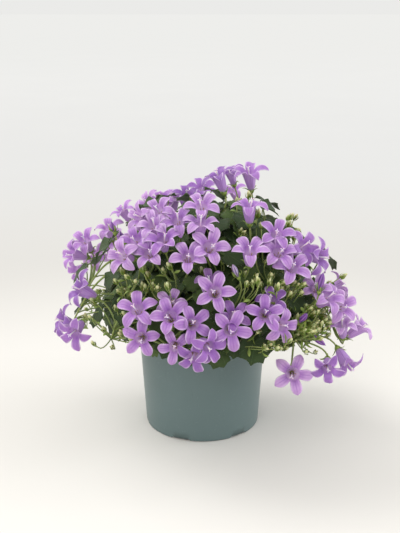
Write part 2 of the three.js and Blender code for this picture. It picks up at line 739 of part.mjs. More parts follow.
// A leaf under the dome, pushed inwards from a first share of its reach until it clears the flowers,
// the pot and its sector's other leaves, and until a straight petiole can reach it from below
function clearLeaf(wanted, firstShare, sector, spots, flowers, leaves) {
  for (let share = firstShare; share > LEAST_LEAF_SHARE; share -= LEAF_SHARE_STEP) {
    const raw = wanted.out.clone().multiply(DOME_HALF).multiplyScalar(share).add(DOME_CENTRE);
    const centre = keepInSector(raw, sector, wanted.radius + GAP);
    const leaf = orientedLeaf(centre, wanted);
    const outline = leafOutline(leaf);
    const spot = petioleRoot(outline[0], leaf.normal, spots, flowers);
    const crowded = leaves.some((other) => other.centre.distanceTo(centre) < LEAF_SPACING * (leaf.radius + other.radius));
    if (!spot || crowded || outline.some(hitsPot) || hitsFlower([centre, ...outline], flowers)) {
      continue;
    }
    const direction = outline[0].clone().sub(spot).normalize();
    if (isClear(leafSolid({ ...leaf, from: along(spot, direction, ROOT_SKIP) }), null)) {
      return { ...leaf, body: leafSolid({ ...leaf, from: spot }) };
    }
  }
  return null;
}

// The nearest place on the stems from which a straight petiole meets the blade's underside
function petioleRoot(joint, normal, spots, flowers) {
  const nearest = spots.slice().sort((a, b) => a.distanceTo(joint) - b.distanceTo(joint));
  return nearest.find((point) => {
    const way = joint.clone().sub(point);
    const length = way.length();
    const between = [0.5, 0.8].map((part) => along(point, way, part));
    return length > SHORTEST_PETIOLE && way.dot(normal) > PETIOLE_RISE * length && !hitsFlower(between, flowers);
  });
}

// A leaf that faces outwards and up, with its tip hanging down and turned aside by its twist
function orientedLeaf(centre, { out, radius, leanUp, twist }) {
  const normal = along(out, vector(0, 0, 1), leanUp).normalize();
  const down = along(vector(0, 0, -1), normal, normal.z).normalize();
  const aside = normal.clone().cross(down);
  const tip = down.clone().multiplyScalar(Math.cos(twist)).addScaledVector(aside, Math.sin(twist));
  return { centre, radius, normal, tip, side: normal.clone().cross(tip) };
}

// Buds of a sector: each leaves a flower stalk at its middle and ends in a green club
function sectorBuds(stalks, sector) {
  const bodies = [];
  for (const [i, { path }] of stalks.entries()) {
    const turn = draw(0, 2 * Math.PI);
    const reach = draw(...BUD_REACHES);
    if (i % STALKS_PER_BUD !== 0) {
      continue;
    }
    const [, start, end] = path;
    const ahead = end.clone().sub(start).normalize();
    const { first, second } = acrossDirections(ahead);
    const lean = first.clone().multiplyScalar(Math.cos(turn)).addScaledVector(second, Math.sin(turn));
    const base = keepInSector(along(along(start, ahead, BUD_LEAVES_AT * reach), lean, reach), sector, 3);
    const axis = base.clone().sub(start).normalize().add(vector(0, 0, BUD_LEANS_UP)).normalize();
    const direction = base.clone().sub(start).normalize();
    if (isClear(budSolid(along(start, direction, ROOT_SKIP), base, axis, BUD_LENGTH), null)) {
      bodies.push(budSolid(start, base, axis, BUD_LENGTH));
    }
  }
  return bodies;
}

// Leaves and buds of one leafy stem, added to its main stem and its stalks
function leafyStemParts(stem, flowers) {
  const { sector, stalks, body, starts } = stem;
  const spots = [...starts, ...stalks.map((stalk) => stalk.path[1])];
  const leaves = sectorLeaves(sector, spots, flowers).map((leaf) => leaf.body);
  leaves.forEach((leaf) => take(leaf, sector));
  return [body, ...stalks.map((stalk) => stalk.body), ...leaves, ...sectorBuds(stalks, sector)];
}

function mainStemBody(skeleton) {
  const radii = skeleton.map((_, i) => STEM_RADIUS - (0.6 * i) / (skeleton.length - 1));
  return rodSolid(skeleton, radii, 3);
}

// Pot: a turned shell with drainage notches cut through its foot
function potSolid() {
  const profile = [
    [0, 0], [FOOT_RADIUS - 1, 0], [FOOT_RADIUS, 1], [NECK_RADIUS, POT_HEIGHT - RIM_DROP],
    [RIM_RADIUS, POT_HEIGHT - RIM_DROP + 1], [RIM_RADIUS, POT_HEIGHT - 1], [RIM_RADIUS - 1, POT_HEIGHT],
    [NECK_RADIUS - WALL, POT_HEIGHT], [FOOT_RADIUS - WALL, FLOOR_THICKNESS], [0, FLOOR_THICKNESS],
  ].map(([out, z]) => new THREE.Vector2(out, z));
  let body = solidFrom(new THREE.LatheGeometry(profile, POT_SIDES).rotateX(Math.PI / 2));
  for (let i = 0; i < NOTCHES; i += 1) {
    const turn = radians(NOTCH_FIRST_DEGREES - 90) + (i * 2 * Math.PI) / NOTCHES;
    const notch = new THREE.BoxGeometry(NOTCH_REACH + 6, NOTCH_WIDTH, 2 * NOTCH_HEIGHT);
    notch.translate(FOOT_RADIUS - NOTCH_REACH / 2 + 3, 0, 0);
    notch.rotateZ(turn);
    body = body.subtract(solidFrom(notch));
  }
  return body;
}

// Soil: a plug a hair clear of the pot, heaped to its middle, with a plain hole for each stem
function soilSolid(roots) {
  const low = FLOOR_THICKNESS + GAP;
  const inner = (z) => FOOT_RADIUS - WALL - GAP - 0.1
    + ((NECK_RADIUS - FOOT_RADIUS) * (z - FLOOR_THICKNESS)) / (POT_HEIGHT - FLOOR_THICKNESS);
  const profile = [
    [0, low], [inner(low), low], [inner(SOIL_TOP), SOIL_TOP], [30, SOIL_TOP + SOIL_HEAP], [0, SOIL_TOP + SOIL_HEAP],
  ].map(([out, z]) => new THREE.Vector2(out, z));
  let body = solidFrom(new THREE.LatheGeometry(profile, POT_SIDES).rotateX(Math.PI / 2));
  for (const root of roots) {
    const hole = new THREE.CylinderGeometry(HOLE_RADIUS, HOLE_RADIUS, HOLE_DEPTH + 10, 6);
    hole.rotateX(Math.PI / 2);
    hole.translate(root.x, root.y, SOIL_TOP - HOLE_DEPTH + (HOLE_DEPTH + 10) / 2);
    body = body.subtract(solidFrom(hole));
  }
  return body;
}

function meshOf(name, body, material) {
  const data = body.getMesh();
  const geometry = new THREE.BufferGeometry();
  geometry.setAttribute('position', new THREE.BufferAttribute(data.vertProperties.slice(), 3));
  geometry.setIndex(new THREE.BufferAttribute(data.triVerts.slice(), 1));
  geometry.computeVertexNormals();
  const mesh = new THREE.Mesh(geometry, material);
  mesh.name = name;
  return mesh;
}

const plastic = new THREE.MeshStandardMaterial({ color: 0x5d7573, roughness: 0.5, metalness: 0 });
const earth = new THREE.MeshStandardMaterial({ color: 0x2e241c, roughness: 0.95, metalness: 0 });
const green = new THREE.MeshStandardMaterial({ color: 0x3c5a2c, roughness: 0.6, metalness: 0 });
const violet = new THREE.MeshStandardMaterial({ color: 0xa878d0, roughness: 0.55, metalness: 0 });

function numbered(name, i) {
  return `${name}_${String(i + 1).padStart(2, '0')}`;
}

// Every flower gets its stalk before any leaf is laid. A flower that no stalk can reach is left out.
function giveStalks(stems, placed) {
  placed.forEach((item) => take(item.body, null));
  stems.forEach((stem) => take(stem.body, stem.sector));
  return placed.filter(({ flower }) => {
    const stem = stems.find((one) => one.sector === sectorOf(calyxCentre(flower)));
    const stalk = clearStalk(stem.starts, flower, stem.sector);
    if (stalk) {
      take(stalk.body, stem.sector);
      stem.stalks.push(stalk);
    }
    return stalk !== null;
  });
}

function buildPlant() {
  const plant = new THREE.Group();
  const stems = Array.from({ length: SECTORS + 1 }, (_, i) => {
    const skeleton = mainStem(i - 1);
    return { sector: i - 1, root: skeleton[0], body: mainStemBody(skeleton), starts: startsAlong(skeleton), stalks: [] };
  });
  const pot = potSolid();
  const soil = soilSolid(stems.map((stem) => stem.root));
  take(pot, null);
  take(soil, null);
  const front = seenFlowers();
  const kept = giveStalks(stems, settledFlowers([...front, ...backFlowers(front)]));
  const flowers = kept.map((item) => item.flower);
  const greens = stems.map((stem) => leafyStemParts(stem, flowers));
  plant.add(meshOf('pot', pot, plastic));
  plant.add(meshOf('soil', soil, earth));
  greens.forEach((parts, i) => plant.add(meshOf(numbered('leafy_stem', i), fuse(parts), green)));
  flowerClusters(kept).forEach((body, i) => plant.add(meshOf(numbered('bloom', i), body, violet)));
  return plant;
}

const plant = buildPlant();
export default plant;
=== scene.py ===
# %% [markdown]
# A potted dalmatian bellflower is a mound of violet bells on thin stalks, over small toothed leaves, in a
# round plastic pot. The measured model holds every bloom, every leafy stem, the soil and the pot as plain
# solids. This lesson dresses them: each solid gives the place, the direction and the size, and a finer
# surface worked out by a formula takes its part.

import bpy
import numpy as np
from mathutils import Matrix


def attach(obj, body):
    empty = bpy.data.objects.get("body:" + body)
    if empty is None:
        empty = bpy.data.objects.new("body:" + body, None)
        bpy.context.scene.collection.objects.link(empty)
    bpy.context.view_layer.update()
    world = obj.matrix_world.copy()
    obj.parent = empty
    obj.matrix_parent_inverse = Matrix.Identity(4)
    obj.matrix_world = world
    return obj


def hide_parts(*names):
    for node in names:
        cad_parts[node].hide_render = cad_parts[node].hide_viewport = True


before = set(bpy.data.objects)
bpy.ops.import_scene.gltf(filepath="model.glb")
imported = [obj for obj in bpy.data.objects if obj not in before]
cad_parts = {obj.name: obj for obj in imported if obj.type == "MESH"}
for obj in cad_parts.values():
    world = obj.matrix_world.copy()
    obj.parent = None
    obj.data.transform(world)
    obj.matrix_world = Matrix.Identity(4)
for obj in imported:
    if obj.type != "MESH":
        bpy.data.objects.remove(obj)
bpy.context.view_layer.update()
MM = 0.001
POT_TOP = 96.0
RIM_OUT = 54.5
BLOOM_NODES = sorted(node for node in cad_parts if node.startswith("bloom"))
STEM_NODES = sorted(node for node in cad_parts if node.startswith("leafy_stem"))
print("blooms", len(BLOOM_NODES), "leafy stems", len(STEM_NODES))

# %% [markdown]
# The camera comes first, because what shows best decides where the detail goes. The pot's foot and the
# plant's outline in the photograph fit an eye about 0.75 m away that looks gently down. The focal length
# was measured in pixels of the upright picture, and the sensor is fitted to the picture's height.

# %% Camera
EYE = np.array([-2.0, -677.0, 336.0]) * MM
TILT = np.radians(16.6)
FOCAL_PIXELS = 863
PICTURE_WIDTH = 400
PICTURE_HEIGHT = 533
SENSOR_HEIGHT = 36.0

camera_data = bpy.data.cameras.new("camera")
camera_data.sensor_fit = "VERTICAL"
camera_data.sensor_height = SENSOR_HEIGHT
camera_data.lens = FOCAL_PIXELS / PICTURE_HEIGHT * SENSOR_HEIGHT
camera = bpy.data.objects.new("camera", camera_data)
camera.location = EYE
camera.rotation_euler = (np.pi / 2 - TILT, 0, 0)
bpy.context.scene.collection.objects.link(camera)
bpy.context.scene.camera = camera
print("lens", round(camera_data.lens, 2), "mm")

# %% [markdown]
# The plant stands in a bright room with white all round it, so most of its light comes from every side and
# the shadows are soft. A pale floor, a white surround and two wide lamps give that. The floor is no part of
# the object.

# %% Floor, surround and lamps
FLOOR_HALF = 60.0
SURROUND_LIGHT = 0.83
FLOOR_BRIGHTNESS = 0.845
LAMP_AIM = np.array([0.0, 0.0, 0.12])
LAMPS = {
    "key": ((-2.4, 1.4, 3.2), 2.2, 78, (1.0, 0.99, 0.97)),
    "fill": ((3.7, 0.3, 1.7), 2.4, 68, (0.97, 0.98, 1.0)),
    "front": ((-1.5, -3.3, 3.0), 3.0, 62, (1.0, 0.99, 0.97)),
}
# middle of the pool of light that is painted on the floor round the pot
PAINTED_LIGHT_SPOT = (0.0, -0.12, 0.0)


def add_lamp(name, place, size, power, colour):
    """A square area lamp at a place, turned towards the plant."""
    lamp = bpy.data.lights.new(name, "AREA")
    lamp.shape = "SQUARE"
    lamp.size = size
    lamp.energy = power
    lamp.color = colour
    holder = bpy.data.objects.new(name, lamp)
    bpy.context.scene.collection.objects.link(holder)
    back = np.array(place, float) - LAMP_AIM
    back /= np.linalg.norm(back)
    side = np.cross((0.0, 0.0, 1.0), back)
    side /= np.linalg.norm(side)
    turn = np.stack([side, np.cross(back, side), back], axis=1)
    holder.matrix_world = Matrix.Translation(place) @ Matrix(turn.tolist()).to_4x4()


world = bpy.data.worlds.new("surround")
bpy.context.scene.world = world
world.use_nodes = True
surround_colour = (SURROUND_LIGHT, SURROUND_LIGHT, 0.98 * SURROUND_LIGHT, 1)
world.node_tree.nodes["Background"].inputs["Color"].default_value = surround_colour
for name, lamp in LAMPS.items():
    add_lamp(name, *lamp)
bpy.context.scene.view_settings.view_transform = "Standard"

floor_mesh = bpy.data.meshes.new("floor")
floor_corners = [(-1, -1), (1, -1), (1, 1), (-1, 1)]
floor_mesh.from_pydata([(FLOOR_HALF * x, FLOOR_HALF * y, 0) for x, y in floor_corners], [], [(0, 1, 2, 3)])
floor = bpy.data.objects.new("floor", floor_mesh)
bpy.context.scene.collection.objects.link(floor)
print("floor", 2 * FLOOR_HALF, "m square, lamps", list(LAMPS))

# %% [markdown]
# Materials are written as sums. A Wire is the output of a node, and adding, multiplying or subtracting
# wires adds the Math nodes. Colours go through Mix, which keeps them coloured. Every other node comes from
# one method, so a material reads from top to bottom as one recipe.

# %% Shader arithmetic


class Wire:
    """The output of a node, which makes Math nodes where it is used in a sum."""

    def __init__(self, recipe, socket):
        self.recipe = recipe
        self.socket = socket

    def math(self, operation, *values):
        """A Math node whose sockets take these values in their order."""
        return self.recipe.node("ShaderNodeMath", {"operation": operation}, dict(enumerate(values)))

    def __add__(self, other):
        return self.math("ADD", self, other)

    def __sub__(self, other):
        return self.math("SUBTRACT", self, other)

    def __rsub__(self, other):
        return self.math("SUBTRACT", other, self)

    def __mul__(self, other):
        return self.math("MULTIPLY", self, other)

    def __truediv__(self, other):
        return self.math("DIVIDE", self, other)

    def __rtruediv__(self, other):
        return self.math("DIVIDE", other, self)

    def __pow__(self, other):
        return self.math("POWER", self, other)

    __radd__ = __add__
    __rmul__ = __mul__

    def size(self):
        """The value without its sign."""
        return self.math("ABSOLUTE", self)

    def wave(self):
        """The sine of the value."""
        return self.math("SINE", self)

    def larger(self, other):
        """The larger of two values."""
        return self.math("MAXIMUM", self, other)

    def between(self, low, high):
        """0 below low and 1 above high, with a soft step between."""
        limits = {"From Min": low, "From Max": high}
        settings = {"interpolation_type": "SMOOTHSTEP", "clamp": True}
        return self.recipe.node("ShaderNodeMapRange", settings, {"Value": self, **limits})


print("a wire has", [name for name in vars(Wire) if not name.startswith("_")])

# %% Recipes of nodes


class Recipe:
    """A material that is written as a recipe of wires."""

    def __init__(self, name, **constants):
        self.material = bpy.data.materials.new(name)
        self.material.use_nodes = True
        self.tree = self.material.node_tree
        self.shader = self.tree.nodes["Principled BSDF"]
        for socket, value in constants.items():
            self.shader.inputs[socket.replace("_", " ")].default_value = value

    def node(self, kind, settings=None, inputs=None, output=0):
        """Any node: its settings come first, then the values or wires of its sockets."""
        made = self.tree.nodes.new(kind)
        for name, value in (settings or {}).items():
            setattr(made, name, value)
        for name, value in (inputs or {}).items():
            if isinstance(value, Wire):
                self.tree.links.new(value.socket, made.inputs[name])
            else:
                made.inputs[name].default_value = value
        return Wire(self, made.outputs[output])

    def mix(self, share, first, second):
        """The first colour, or as much of the second as the share says."""
        made = self.tree.nodes.new("ShaderNodeMix")
        made.data_type = "RGBA"
        sockets = {socket.identifier: socket for socket in made.inputs}
        for name, value in (("Factor_Float", share), ("A_Color", first), ("B_Color", second)):
            if isinstance(value, Wire):
                self.tree.links.new(value.socket, sockets[name])
            else:
                sockets[name].default_value = value if name == "Factor_Float" else (*value, 1)
        return Wire(self, next(out for out in made.outputs if out.identifier == "Result_Color"))

    def vector(self, operation, *values, output="Value"):
        """A Vector Math node, which gives a number unless another output is named."""
        return self.node("ShaderNodeVectorMath", {"operation": operation}, dict(enumerate(values)), output)

    def place(self):
        """Where a point lies in the plant's frame, in metres."""
        return self.node("ShaderNodeTexCoord", output="Object")

    def noise(self, scale, detail=3.0):
        """Cloudy noise from 0 to 1, with this many clouds to the metre."""
        inputs = {"Vector": self.place(), "Scale": scale, "Detail": detail}
        return self.node("ShaderNodeTexNoise", None, inputs)

    def across_and_along(self):
        """The two numbers that each surface carries: across it and along it."""
        pair = self.node("ShaderNodeUVMap", {"uv_map": "surface"})
        return (self.node("ShaderNodeSeparateXYZ", None, {0: pair}, 0),
                self.node("ShaderNodeSeparateXYZ", None, {0: pair}, 1))

    def tone(self):
        """The number that every single flower, leaf or bud keeps for itself."""
        return self.node("ShaderNodeAttribute", {"attribute_name": "tone"}, None, "Fac")

    def faces_up_its_axis(self):
        """1 where the surface faces along the axis that it keeps, 0 where it faces back."""
        normal = self.node("ShaderNodeNewGeometry", output="Normal")
        axis = self.node("ShaderNodeAttribute", {"attribute_name": "axis"}, None, "Vector")
        return self.vector("DOT_PRODUCT", normal, axis).between(-0.06, 0.10)

    def relief(self, height, distance, strength=1.0):
        """Bumps of this many metres where the height goes from 0 to 1."""
        values = {"Height": height, "Distance": distance, "Strength": strength}
        return self.node("ShaderNodeBump", None, values)

    def feed(self, **wires):
        """Links wires to the shader's sockets and gives the finished material."""
        for socket, wire in wires.items():
            self.tree.links.new(wire.socket, self.shader.inputs[socket.replace("_", " ")])
        return self.material


print("a recipe has", [name for name in vars(Recipe) if not name.startswith("_")])

# %% [markdown]
# A lamp lights the floor under it most, which would show as bright pools. The floor's paint is therefore
# divided by the light that falls on each point, worked out from the lamps' places, so that the floor looks
# even like a studio sweep. Round the pot a pool of light is painted on, so the floor is a little brighter
# there, and it is warmer.

# %% Floor finish
WARM_WHITE = (1.0, 0.975, 0.93)
COOL_WHITE = (1.0, 1.0, 0.995)
# how much brighter the floor's paint is in the painted pool of light round the pot
PAINTED_LIGHT_GAIN = 0.34

floor_recipe = Recipe("pale_floor", Roughness=0.9, Specular_IOR_Level=0.0)


def lamp_light_on_floor(place, size, power):
    """Light from one lamp: power * cos at the lamp * cos at the floor / (pi * distance)^2.

    Its size softens both the edge behind it and the peak below it.
    """
    place = np.array(place)
    aim = (LAMP_AIM - place) / np.linalg.norm(LAMP_AIM - place)
    offset = floor_recipe.vector("SUBTRACT", floor_recipe.place(), place, output=0)
    distance = floor_recipe.vector("LENGTH", offset)
    ahead = floor_recipe.vector("DOT_PRODUCT", offset, aim)
    ahead = (ahead + (ahead * ahead + (size / 2) ** 2) ** 0.5) * 0.5
    return ahead * (power * place[2] / np.pi ** 2) / (distance * distance + (size / 4) ** 2) ** 2


from_pot = floor_recipe.vector("LENGTH", floor_recipe.place())
lamp_light = sum(lamp_light_on_floor(place, size, power) for place, size, power, colour in LAMPS.values())
floor_tint = floor_recipe.mix(from_pot.between(0.2, 1.3), WARM_WHITE, COOL_WHITE)
from_painted_light_spot = floor_recipe.vector("DISTANCE", floor_recipe.place(), PAINTED_LIGHT_SPOT)
# painted light: the floor's paint is raised in a pool round the pot
painted_light_near_pot = (1 - from_painted_light_spot.between(0.15, 0.65)) * PAINTED_LIGHT_GAIN + 1
floor_share = FLOOR_BRIGHTNESS / (lamp_light + SURROUND_LIGHT) * painted_light_near_pot + floor_recipe.noise(3.0) * 0.02
floor_scaled = floor_recipe.node("ShaderNodeVectorMath", {"operation": "SCALE"},
                                 {0: floor_tint, "Scale": floor_share})
floor_mesh.materials.append(floor_recipe.feed(Base_Color=floor_scaled))
print("nodes in the floor's finish", len(floor_recipe.tree.nodes))

# %% [markdown]
# Everything on the plant is a skin: points worked out on a grid, with faces between them. A skin gathers
# many copies at once. All copies share one list of faces, and only their points differ, so that whole
# arrays are computed in one step.

# %% Skins and pieces
UP = np.array([0.0, 0.0, 1.0])
NO_QUADS = np.zeros((0, 4), int)


class Skin:
    """Points and faces, gathered copy by copy, that become one piece."""

    def __init__(self):
        self.points = []
        self.quads = []
        self.triangles = []
        self.surface = []
        self.tone = []
        self.axis = []
        self.count = 0

    def add(self, points, quads, triangles, surface, tone, axis=UP):
        """points is copies by points by 3, and surface holds each point's place across and along."""
        copies, size, _ = points.shape
        shift = self.count + size * np.arange(copies)[:, None, None]
        self.points.append(points.reshape(-1, 3))
        self.quads.append((quads[None] + shift).reshape(-1, 4))
        self.triangles.append((triangles[None] + shift).reshape(-1, 3))
        self.surface.append(np.broadcast_to(surface, (copies, size, 2)).reshape(-1, 2))
        self.tone.append(np.broadcast_to(np.asarray(tone, float).reshape(-1, 1), (copies, size)).ravel())
        self.axis.append(np.broadcast_to(np.reshape(axis, (-1, 1, 3)), (copies, size, 3)).reshape(-1, 3))
        self.count += copies * size


def add_piece(name, skin, finish, replaced=(), thickness=0.0):
    """Makes a skin one object in the plant's frame, with its surface places and tones."""
    mesh = bpy.data.meshes.new(name)
    quads = np.concatenate(skin.quads)
    triangles = np.concatenate(skin.triangles)
    mesh.from_pydata(np.concatenate(skin.points).tolist(), [], quads.tolist() + triangles.tolist())
    loops = np.zeros(len(mesh.loops), np.int32)
    mesh.loops.foreach_get("vertex_index", loops)
    surface = mesh.uv_layers.new(name="surface")
    surface.data.foreach_set("uv", np.concatenate(skin.surface)[loops].ravel().astype(np.float32))
    tone = mesh.attributes.new("tone", "FLOAT", "POINT")
    tone.data.foreach_set("value", np.concatenate(skin.tone).astype(np.float32))
    axis = mesh.attributes.new("axis", "FLOAT_VECTOR", "POINT")
    axis.data.foreach_set("vector", np.concatenate(skin.axis).ravel().astype(np.float32))
    mesh.polygons.foreach_set("use_smooth", np.ones(len(mesh.polygons), bool))
    mesh.materials.append(finish)
    piece = bpy.data.objects.new(name, mesh)
    bpy.context.scene.collection.objects.link(piece)
    if thickness:
        wall = piece.modifiers.new("wall", "SOLIDIFY")
        wall.thickness = thickness
        wall.offset = -1
    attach(piece, "root")
    if replaced:
        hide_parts(*replaced)
    return piece


print("a skin keeps", list(vars(Skin())))

# %% Grids, rods and curves


def unit(vectors):
    """Vectors of length 1 with the same directions."""
    return vectors / np.maximum(np.linalg.norm(vectors, axis=-1, keepdims=True), 1e-12)


def grid_quads(rows, columns, closed):
    """Faces between the rows of a grid, whose columns may close on themselves."""
    row = np.arange(rows - 1)[:, None] * columns
    column = np.arange(columns if closed else columns - 1)[None]
    after = (column + 1) % columns
    faces = [row + column, row + after, row + columns + after, row + columns + column]
    return np.stack(faces, -1).reshape(-1, 4)


def rod_faces(steps, sides):
    """Faces of a rod: a closed grid, and a fan at each end. Point 0 is the start, the last is the end."""
    side = np.arange(sides)
    after = (side + 1) % sides
    last = steps * sides + 1
    start = np.stack([0 * side, after + 1, side + 1], -1)
    end = np.stack([0 * side + last, last - sides + side, last - sides + after], -1)
    return grid_quads(steps, sides, True) + 1, np.concatenate([start, end])


def rod_points(paths, radii, sides, flatness=1.0):
    """Rings along paths: centre + radius * (cos a * first + flatness * sin a * second)."""
    ahead = unit(np.gradient(paths, axis=1))
    chord = unit(paths[:, -1] - paths[:, 0])
    helper = np.where(np.abs(chord[:, 2:]) < 0.9, [[0.0, 0.0, 1.0]], [[1.0, 0.0, 0.0]])
    plane = np.cross(ahead[:, 0], ahead[:, -1]) + 0.02 * unit(np.cross(helper, chord))
    first = unit(plane[:, None] - np.sum(plane[:, None] * ahead, -1, keepdims=True) * ahead)
    second = np.cross(ahead, first) * flatness
    angle = 2 * np.pi * np.arange(sides)[:, None] / sides
    round_it = np.cos(angle) * first[:, :, None] + np.sin(angle) * second[:, :, None]
    rings = paths[:, :, None] + np.broadcast_to(radii, paths.shape[:2])[..., None, None] * round_it
    return np.concatenate([paths[:, :1], rings.reshape(len(paths), -1, 3), paths[:, -1:]], axis=1)


def add_rods(skin, paths, radii, sides, tone=0.5, flatness=1.0):
    """Adds closed rods along paths to a skin. Their surface places run round and along them."""
    steps = paths.shape[1]
    quads, triangles = rod_faces(steps, sides)
    along = np.repeat(np.linspace(0, 1, steps), sides)
    around = np.tile(np.abs(np.linspace(-1, 1, sides, endpoint=False)), steps)
    surface = np.stack([np.r_[0, around, 0], np.r_[0, along, 1]], -1)
    skin.add(rod_points(paths, radii, sides, flatness), quads, triangles, surface, tone)


def bend(start, leave, arrive, end, steps):
    """Cubic curves between points, from (1-t)^3, 3t(1-t)^2, 3t^2(1-t) and t^3 of the four."""
    t = np.linspace(0, 1, steps)[None, :, None]
    start, leave, arrive, end = (np.asarray(p, float)[:, None] for p in (start, leave, arrive, end))
    return (1 - t) ** 3 * start + 3 * t * (1 - t) ** 2 * leave + 3 * t ** 2 * (1 - t) * arrive + t ** 3 * end


print("faces of a rod with 9 rings of 6", sum(len(faces) for faces in rod_faces(9, 6)))

# %% [markdown]
# Each open flower stands in its solid on a small five-cornered foot. No other faces of the solid are so
# small and lie in one plane, so the feet can be found again. A foot's middle, its direction, its width and
# its corners give the flower's base, its axis, its size and how its lobes are turned.

# %% Find the flowers in their solids
LOBES = 5
FLOWER_FOOT = 2.4 * MM
SHORTEST_SIDE = 0.7 * FLOWER_FOOT
LONGEST_SIDE = 2.3 * FLOWER_FOOT


def welded(node):
    """A solid's points, each only once, and its triangles."""
    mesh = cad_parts[node].data
    points = np.zeros(3 * len(mesh.vertices))
    mesh.vertices.foreach_get("co", points)
    loops = np.zeros(len(mesh.loops), np.int32)
    mesh.loops.foreach_get("vertex_index", loops)
    single, index = np.unique(points.reshape(-1, 3).round(6), axis=0, return_inverse=True)
    return single, index.ravel()[loops].reshape(-1, 3)


def find_feet(node):
    """The flowers of a bloom, as base, axis, a first lobe's direction, and size."""
    points, faces = welded(node)
    corners = points[faces]
    sides = np.linalg.norm(corners - np.roll(corners, 1, axis=1), axis=2)
    normals = unit(np.cross(corners[:, 1] - corners[:, 0], corners[:, 2] - corners[:, 0]))
    middles = corners.mean(1)
    small = np.flatnonzero((sides.max(1) < LONGEST_SIDE) & (sides.min(1) > SHORTEST_SIDE))
    found = []
    for one in small:
        flat = [other for other in small if normals[other] @ normals[one] > 0.9999]
        near = [other for other in flat if np.linalg.norm(middles[other] - middles[one]) < 2 * FLOWER_FOOT]
        foot = points[np.unique(faces[near])]
        if one != min(near) or len(near) != 3 or len(foot) != LOBES:
            continue
        base = foot.mean(0)
        reach = np.linalg.norm(foot - base, axis=1)
        if np.ptp(reach) < 0.02 * FLOWER_FOOT:
            found.append((base, -normals[one], unit(foot[0] - base), reach.mean() / FLOWER_FOOT))
    return found


blooms = {node: find_feet(node) for node in BLOOM_NODES}
flowers = [flower for node in BLOOM_NODES for flower in blooms[node]]
BASES = np.array([flower[0] for flower in flowers])
AXES = np.array([flower[1] for flower in flowers])
FIRSTS = np.array([flower[2] for flower in flowers])
SIZES = np.array([flower[3] for flower in flowers])
print("flowers found", len(flowers), "in", len(blooms), "blooms")

# %% [markdown]
# A bell is a tube that widens to its throat and ends in five broad lobes with a small point, which spread
# to a star and curl back. One surface draws it all: two numbers run over it, across each lobe from -1 to 1
# and along it from 0 at the foot to 1 at the tip. The lobes of one flower never spread quite alike, so each
# gets its own lift, curl, twist and length. The surface is then given the thickness of a petal.

# %% The bell's grid of points and faces
ACROSS = 8
TUBE_ROWS = 7
LOBE_ROWS = 8
ROUND = LOBES * ACROSS
FIRST_LOBE_POINT = 1 + (TUBE_ROWS + 1) * ROUND
TIP_POINT = FIRST_LOBE_POINT + LOBES * (LOBE_ROWS - 1) * (ACROSS + 1)


def bell_grid():
    """Each point's lobe, its place across the lobe, and its place along it."""
    column = np.arange(ROUND) + ACROSS // 2
    up = 0.5 * np.linspace(0, 1, TUBE_ROWS + 1) ** 1.3
    out = 0.5 + 0.5 * np.sin(np.pi / 2 * np.arange(1, LOBE_ROWS) / LOBE_ROWS)
    side = np.linspace(-1, 1, ACROSS + 1)
    lobe = [[0], np.tile(column // ACROSS % LOBES, len(up)),
            np.repeat(np.arange(LOBES), len(out) * len(side)), np.arange(LOBES)]
    across = [[0], np.tile(column % ACROSS / (ACROSS / 2) - 1, len(up)),
              np.tile(side, LOBES * len(out)), [0] * LOBES]
    along = [[0], np.repeat(up, ROUND), np.tile(np.repeat(out, len(side)), LOBES), [1] * LOBES]
    return np.concatenate(lobe).astype(int), np.concatenate(across), np.concatenate(along)


def bell_faces():
    """The foot's fan, the tube's closed grid, each lobe's open grid, and the fan at each tip."""
    around = np.arange(ROUND)
    foot = np.stack([0 * around, (around + 1) % ROUND + 1, around + 1], -1)
    quads = [grid_quads(TUBE_ROWS + 1, ROUND, True) + 1]
    tips = []
    for lobe in range(LOBES):
        throat = 1 + TUBE_ROWS * ROUND + (lobe * ACROSS + np.arange(-ACROSS // 2, ACROSS // 2 + 1)) % ROUND
        first = FIRST_LOBE_POINT + lobe * (LOBE_ROWS - 1) * (ACROSS + 1)
        rows = first + np.arange((LOBE_ROWS - 1) * (ACROSS + 1))
        points = np.concatenate([throat, rows])
        quads.append(points[grid_quads(LOBE_ROWS, ACROSS + 1, False)])
        last = points[-(ACROSS + 1):]
        tips.append(np.stack([last[:-1], last[1:], np.full(ACROSS, TIP_POINT + lobe)], -1))
    return np.concatenate(quads), np.concatenate([foot, *tips])


BELL_LOBE, BELL_ACROSS, BELL_ALONG = bell_grid()
BELL_QUADS, BELL_TRIANGLES = bell_faces()
print("points in a bell", len(BELL_LOBE))

# %% The bell's surface
TUBE_LENGTH = 14.0
TUBE_FOOT = 2.3
THROAT_RADIUS = 5.2
LOBE_TIP = 14.6
LOBE_HALF_WIDTH = 3.95
LOBE_WIDEST = 0.5
LOBE_RISE = 8.6
LOBE_FALL = 8.0
SECTOR = np.pi / LOBES


def lobe_half_width(beyond):
    """Half the lobe's width: it swells by a quarter sine, then closes as (1 - q^2.2)^0.85 to its point."""
    start = THROAT_RADIUS * np.sin(SECTOR)
    swell = start + (LOBE_HALF_WIDTH - start) * np.sin(np.pi / 2 * np.minimum(beyond / LOBE_WIDEST, 1))
    closing = np.clip((beyond - LOBE_WIDEST) / (1 - LOBE_WIDEST), 0, 1)
    return swell * (1 - closing ** 2.2) ** 0.85


